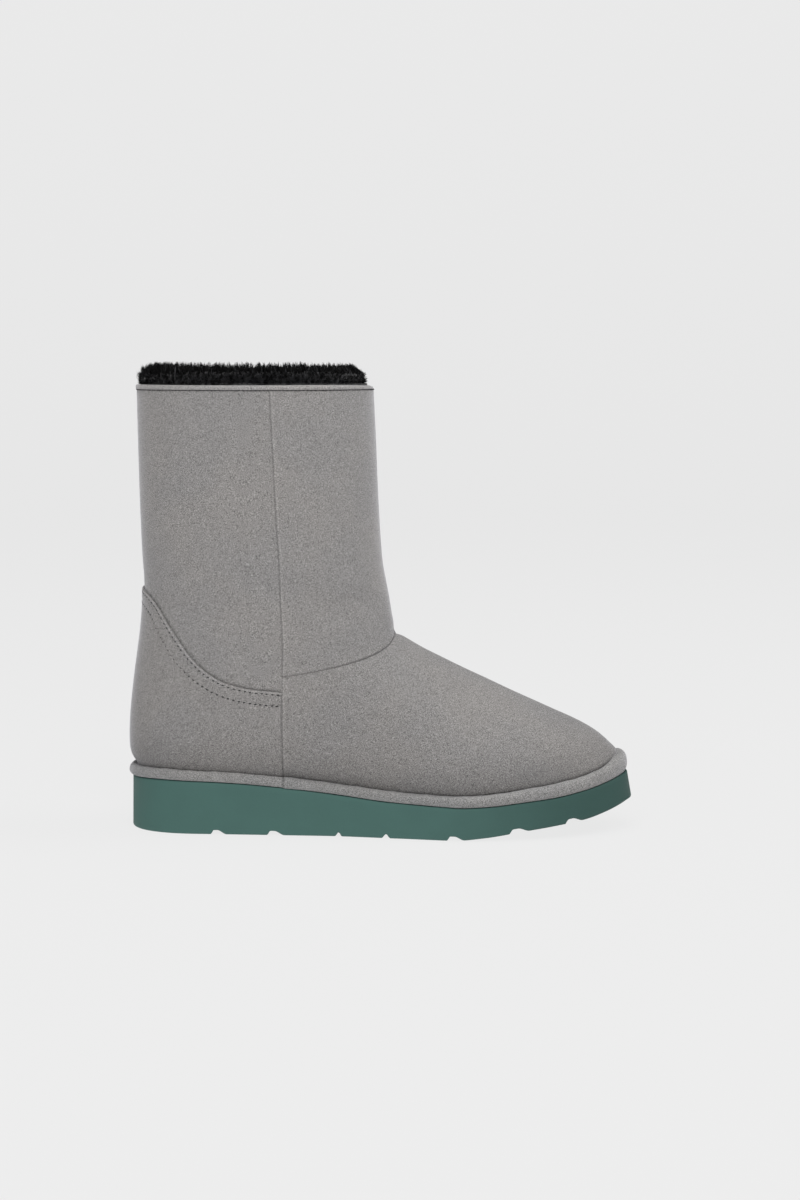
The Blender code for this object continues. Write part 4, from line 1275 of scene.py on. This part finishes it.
def build_fur(label, count, seed):
    """Tapered curved hairs in clumps whose tips make the crown of the pile."""
    chance = np.random.default_rng(seed)
    angle = chance.uniform(-180, 180, count)
    share = chance.uniform(0, 1, count) ** 0.9 * FUR_SPAN
    # clumps: cells over the angle and the profile, each with its own middle and lean
    cells, bands = CLUMPS
    cell = np.floor((angle + 180) / 360 * cells + chance.uniform(-0.25, 0.25, count)).astype(int) % cells
    band = np.floor(share / FUR_SPAN * bands + chance.uniform(-0.25, 0.25, count)).astype(int)
    band = np.clip(band, 0, bands - 1)
    clump = np.random.default_rng(SEED + 5)
    middle_angle = np.arange(cells)[:, None] + clump.uniform(0.2, 0.8, CLUMPS)
    middle_angle = (middle_angle / cells * 360 - 180)[cell, band]
    middle_share = np.arange(bands)[None] + clump.uniform(0.2, 0.8, CLUMPS)
    middle_share = (middle_share / bands * FUR_SPAN)[cell, band]
    sizes = (0.0011, 0.0008, 0.00085)
    lean_along, lean_out, tall = (clump.normal(0, size, CLUMPS)[cell, band] for size in sizes)
    wave = clump.uniform(-1, 1, (*CLUMPS, 2))[cell, band]
    tip_angle = angle + ((middle_angle - angle + 180) % 360 - 180) * TO_MIDDLE
    tip_share = share + (middle_share - share) * TO_MIDDLE * smooth(0.0, 0.10, share)
    # roots on the ground, and tips on the crown: (depth inside the binding, height over the collar)
    root = crown(share)
    inner = root[:, 1] < 0
    root[:, 1] = np.where(inner, root[:, 1], root[:, 1] * ROOT_SHARE)
    root[:, 0] = np.where(root[:, 0] < 0, root[:, 0] * 0.25, root[:, 0] * np.where(inner, 0.84, 0.93))
    root[:, 0] += inset(angle, root[:, 0])
    tip = crown(tip_share)
    tip[:, 1] += (tall + chance.normal(0, 0.0006, count)) * np.where(tip[:, 1] < 0.004, 0.5, 1.0)
    tip[:, 0] += lean_out + chance.normal(0, 0.0005, count)
    tip[:, 0] += inset(angle, tip[:, 0])
    # at the front the crown is lower, and its upper corner is cut off
    front = bump(angle, 70)
    rise = np.clip(tip[:, 1] / FUR_RISE, 0, 1.3)
    corner = 0.0016 * rise + 0.0026 * smooth(0.80, 1.25, rise)
    tip[:, 0] += front * corner * (1 - smooth(0.002, 0.011, tip[:, 0]))
    tip[:, 1] *= np.where(tip[:, 1] > 0, 1 - 0.08 * front, 1)
    tip[:, 0] += front * clump.normal(0, 0.0009, CLUMPS)[cell, band] * rise
    deepest = np.minimum(tip[:, 0] + 0.0012, FUR_PILE * (1.04 + 0.10 * wave[:, 0]))
    tip[:, 0] = np.where(inner, deepest, np.maximum(tip[:, 0], -0.0036))
    tip[:, 1] = np.where(inner, tip[:, 1] + 0.003, tip[:, 1])
    tip[:, 1] = np.minimum(tip[:, 1], FUR_RISE * 1.38)
    a, out = collar_point((angle + 180) % 360 - 180, FUR_BACK + root[:, 0], root[:, 1])
    b, _ = collar_point((tip_angle + 180) % 360 - 180, FUR_BACK + tip[:, 0], tip[:, 1])
    turn = np.column_stack([-out[:, 1], out[:, 0], np.zeros(count)])
    b += turn * (lean_along + chance.normal(0, 0.0004, count))[:, None]
    # each hair's bowed middle line
    rows = 5
    t = np.linspace(0, 1, rows)
    sway = wave * 0.0009 + chance.normal(0, 0.0003, (count, 2))
    phase = chance.uniform(0, 2 * np.pi, count)
    sideways = turn * sway[:, :1] + out * sway[:, 1:]
    line = []
    for s in t:
        bow = np.sin(np.pi * s) * 0.9 + 0.35 * np.sin(2 * np.pi * s + phase) * np.sin(np.pi * s)
        line.append(a * (1 - s) + b * s + sideways * bow[:, None])
    line = np.stack(line, axis=1)
    # a flat tapered blade along it
    across = unit(np.cross(line[:, -1] - line[:, 0], chance.normal(0, 1, (count, 3))))
    width = HAIR_RADIUS * chance.uniform(0.7, 1.3, count)
    taper = np.array([1.0, 1.0, 0.85, 0.6])
    half = across[:, None] * (width[:, None] * taper[None])[..., None]
    points = np.concatenate([line[:, :-1] - half, line[:, :-1] + half, line[:, -1:]], axis=1)
    each = points.shape[1]
    base = (np.arange(count) * each)[:, None, None]
    k = rows - 1
    quads = np.array([(r, k + r, k + r + 1, r + 1) for r in range(k - 1)])
    tips = np.array([(k - 1, 2 * k - 1, 2 * k)])
    faces = [(quads[None] + base).reshape(-1, 4), (tips[None] + base).reshape(-1, 3)]
    # painted glints: a few hairs are made much lighter, more of them in some clumps than in others
    painted_glint_share = (0.22 * clump.uniform(0, 1, CLUMPS) ** 3)[cell, band]
    tone = np.clip(chance.normal(0.07, 0.05, count), 0, 1)
    tone = np.where(chance.uniform(0, 1, count) < painted_glint_share, chance.uniform(0.4, 1.0, count), tone)
    ends = np.tile(np.concatenate([t[:-1], t[:-1], [1.0]]), count)
    look = {"strand": np.repeat(tone, each), "tip": ends}
    add_piece("fur_pile_" + label, points, faces, FUR, "fur_collar", look)


build_upper()
build_lining()
build_counter()
build_counter_stitches()
build_binding()
build_rand()
build_sole()
build_insole()
build_fur_base()
build_fur("a", 27000, SEED + 20)
build_fur("b", 27000, SEED + 21)


# Studio


def place_object(name, data, location):
    made = bpy.data.objects.new(name, data)
    made.location = location
    bpy.context.scene.collection.objects.link(made)
    return made


def build_floor():
    """A pale floor that curves up into a backdrop."""
    bend = np.radians(np.arange(0, 91, 9))
    reach = np.concatenate([[0.5, 2.0, 3.6], 3.6 + 1.4 * np.sin(bend[1:]), [5.0]])
    level = np.concatenate([[0.0, 0.0, 0.0], 1.4 - 1.4 * np.cos(bend[1:]), [6.0]])
    turn = np.radians(np.arange(0, 360, 5))
    rings = [(r * c, r * s, z) for r, z in zip(reach, level) for c, s in zip(np.cos(turn), np.sin(turn))]
    steps = len(turn)
    faces = [tuple(range(steps)), *grid_faces(len(reach), steps, closed=False, hoop=True).tolist()]
    mesh = bpy.data.meshes.new("studio_floor")
    mesh.from_pydata(rings, [], faces)
    mesh.shade_smooth()
    n = Nodes("studio_paper", Roughness=0.9, Specular_IOR_Level=0.0, Emission_Strength=1.0)
    n.shader.inputs["Base Color"].default_value = (0.06, 0.06, 0.06, 1)
    n.shader.inputs["Emission Color"].default_value = (0.785, 0.785, 0.785, 1)
    mesh.materials.append(n.material)
    floor = place_object("studio_floor", mesh, (0, 0, 0))
    floor.visible_diffuse = False
    floor.visible_glossy = False
    floor.visible_shadow = False


def build_sky():
    """Soft light from all round, stronger from below the horizon, where the pale floor would send it back."""
    scene = bpy.context.scene
    scene.view_settings.view_transform = "Standard"
    scene.world = scene.world or bpy.data.worlds.new("World")
    scene.world.use_nodes = True
    tree = scene.world.node_tree
    sky = tree.nodes["Background"]
    sky.inputs["Color"].default_value = (0.99, 0.99, 1.0, 1)
    place = add_node(tree, "ShaderNodeTexCoord")
    split = add_node(tree, "ShaderNodeSeparateXYZ")
    glow = add_node(tree, "ShaderNodeMapRange", From_Min=-0.3, From_Max=0.3, To_Min=1.02, To_Max=0.08)
    tree.links.new(place.outputs["Generated"], split.inputs[0])
    tree.links.new(split.outputs["Z"], glow.inputs["Value"])
    tree.links.new(glow.outputs["Result"], sky.inputs["Strength"])


LIGHTS = (
    # name, place, size, power in watts
    ("key", (0.0, -1.8, 1.9), 1.6, 41.0),
    ("top", (0.0, 0.2, 2.4), 1.6, 15.0),
    ("side", (1.9, 0.3, 1.9), 1.2, 21.0),
)
LIT_POINT = (0.0, 0.0, 0.1)
CAMERA_PLACE = (0.13819, -1.6, 0.26645)
# Degrees that the camera looks down and is turned to its left.
CAMERA_DOWN = 4.7395
CAMERA_LEFT = 4.5
CAMERA_LENS = 82.5


def build_lights():
    for name, place, size, power in LIGHTS:
        data = bpy.data.lights.new(name, "AREA")
        data.shape = "SQUARE"
        data.size = size
        data.energy = power
        toward = Vector(LIT_POINT) - Vector(place)
        place_object(name, data, place).rotation_euler = toward.to_track_quat("-Z", "Y").to_euler()


def build_camera():
    data = bpy.data.cameras.new("camera")
    data.lens = CAMERA_LENS
    data.sensor_width = 36.0
    data.sensor_fit = "AUTO"
    data.clip_start = 0.05
    data.clip_end = 50.0
    camera = place_object("camera", data, CAMERA_PLACE)
    camera.rotation_euler = (np.radians(90 - CAMERA_DOWN), 0.0, np.radians(CAMERA_LEFT))
    bpy.context.scene.camera = camera


build_floor()
build_sky()
build_lights()
build_camera()
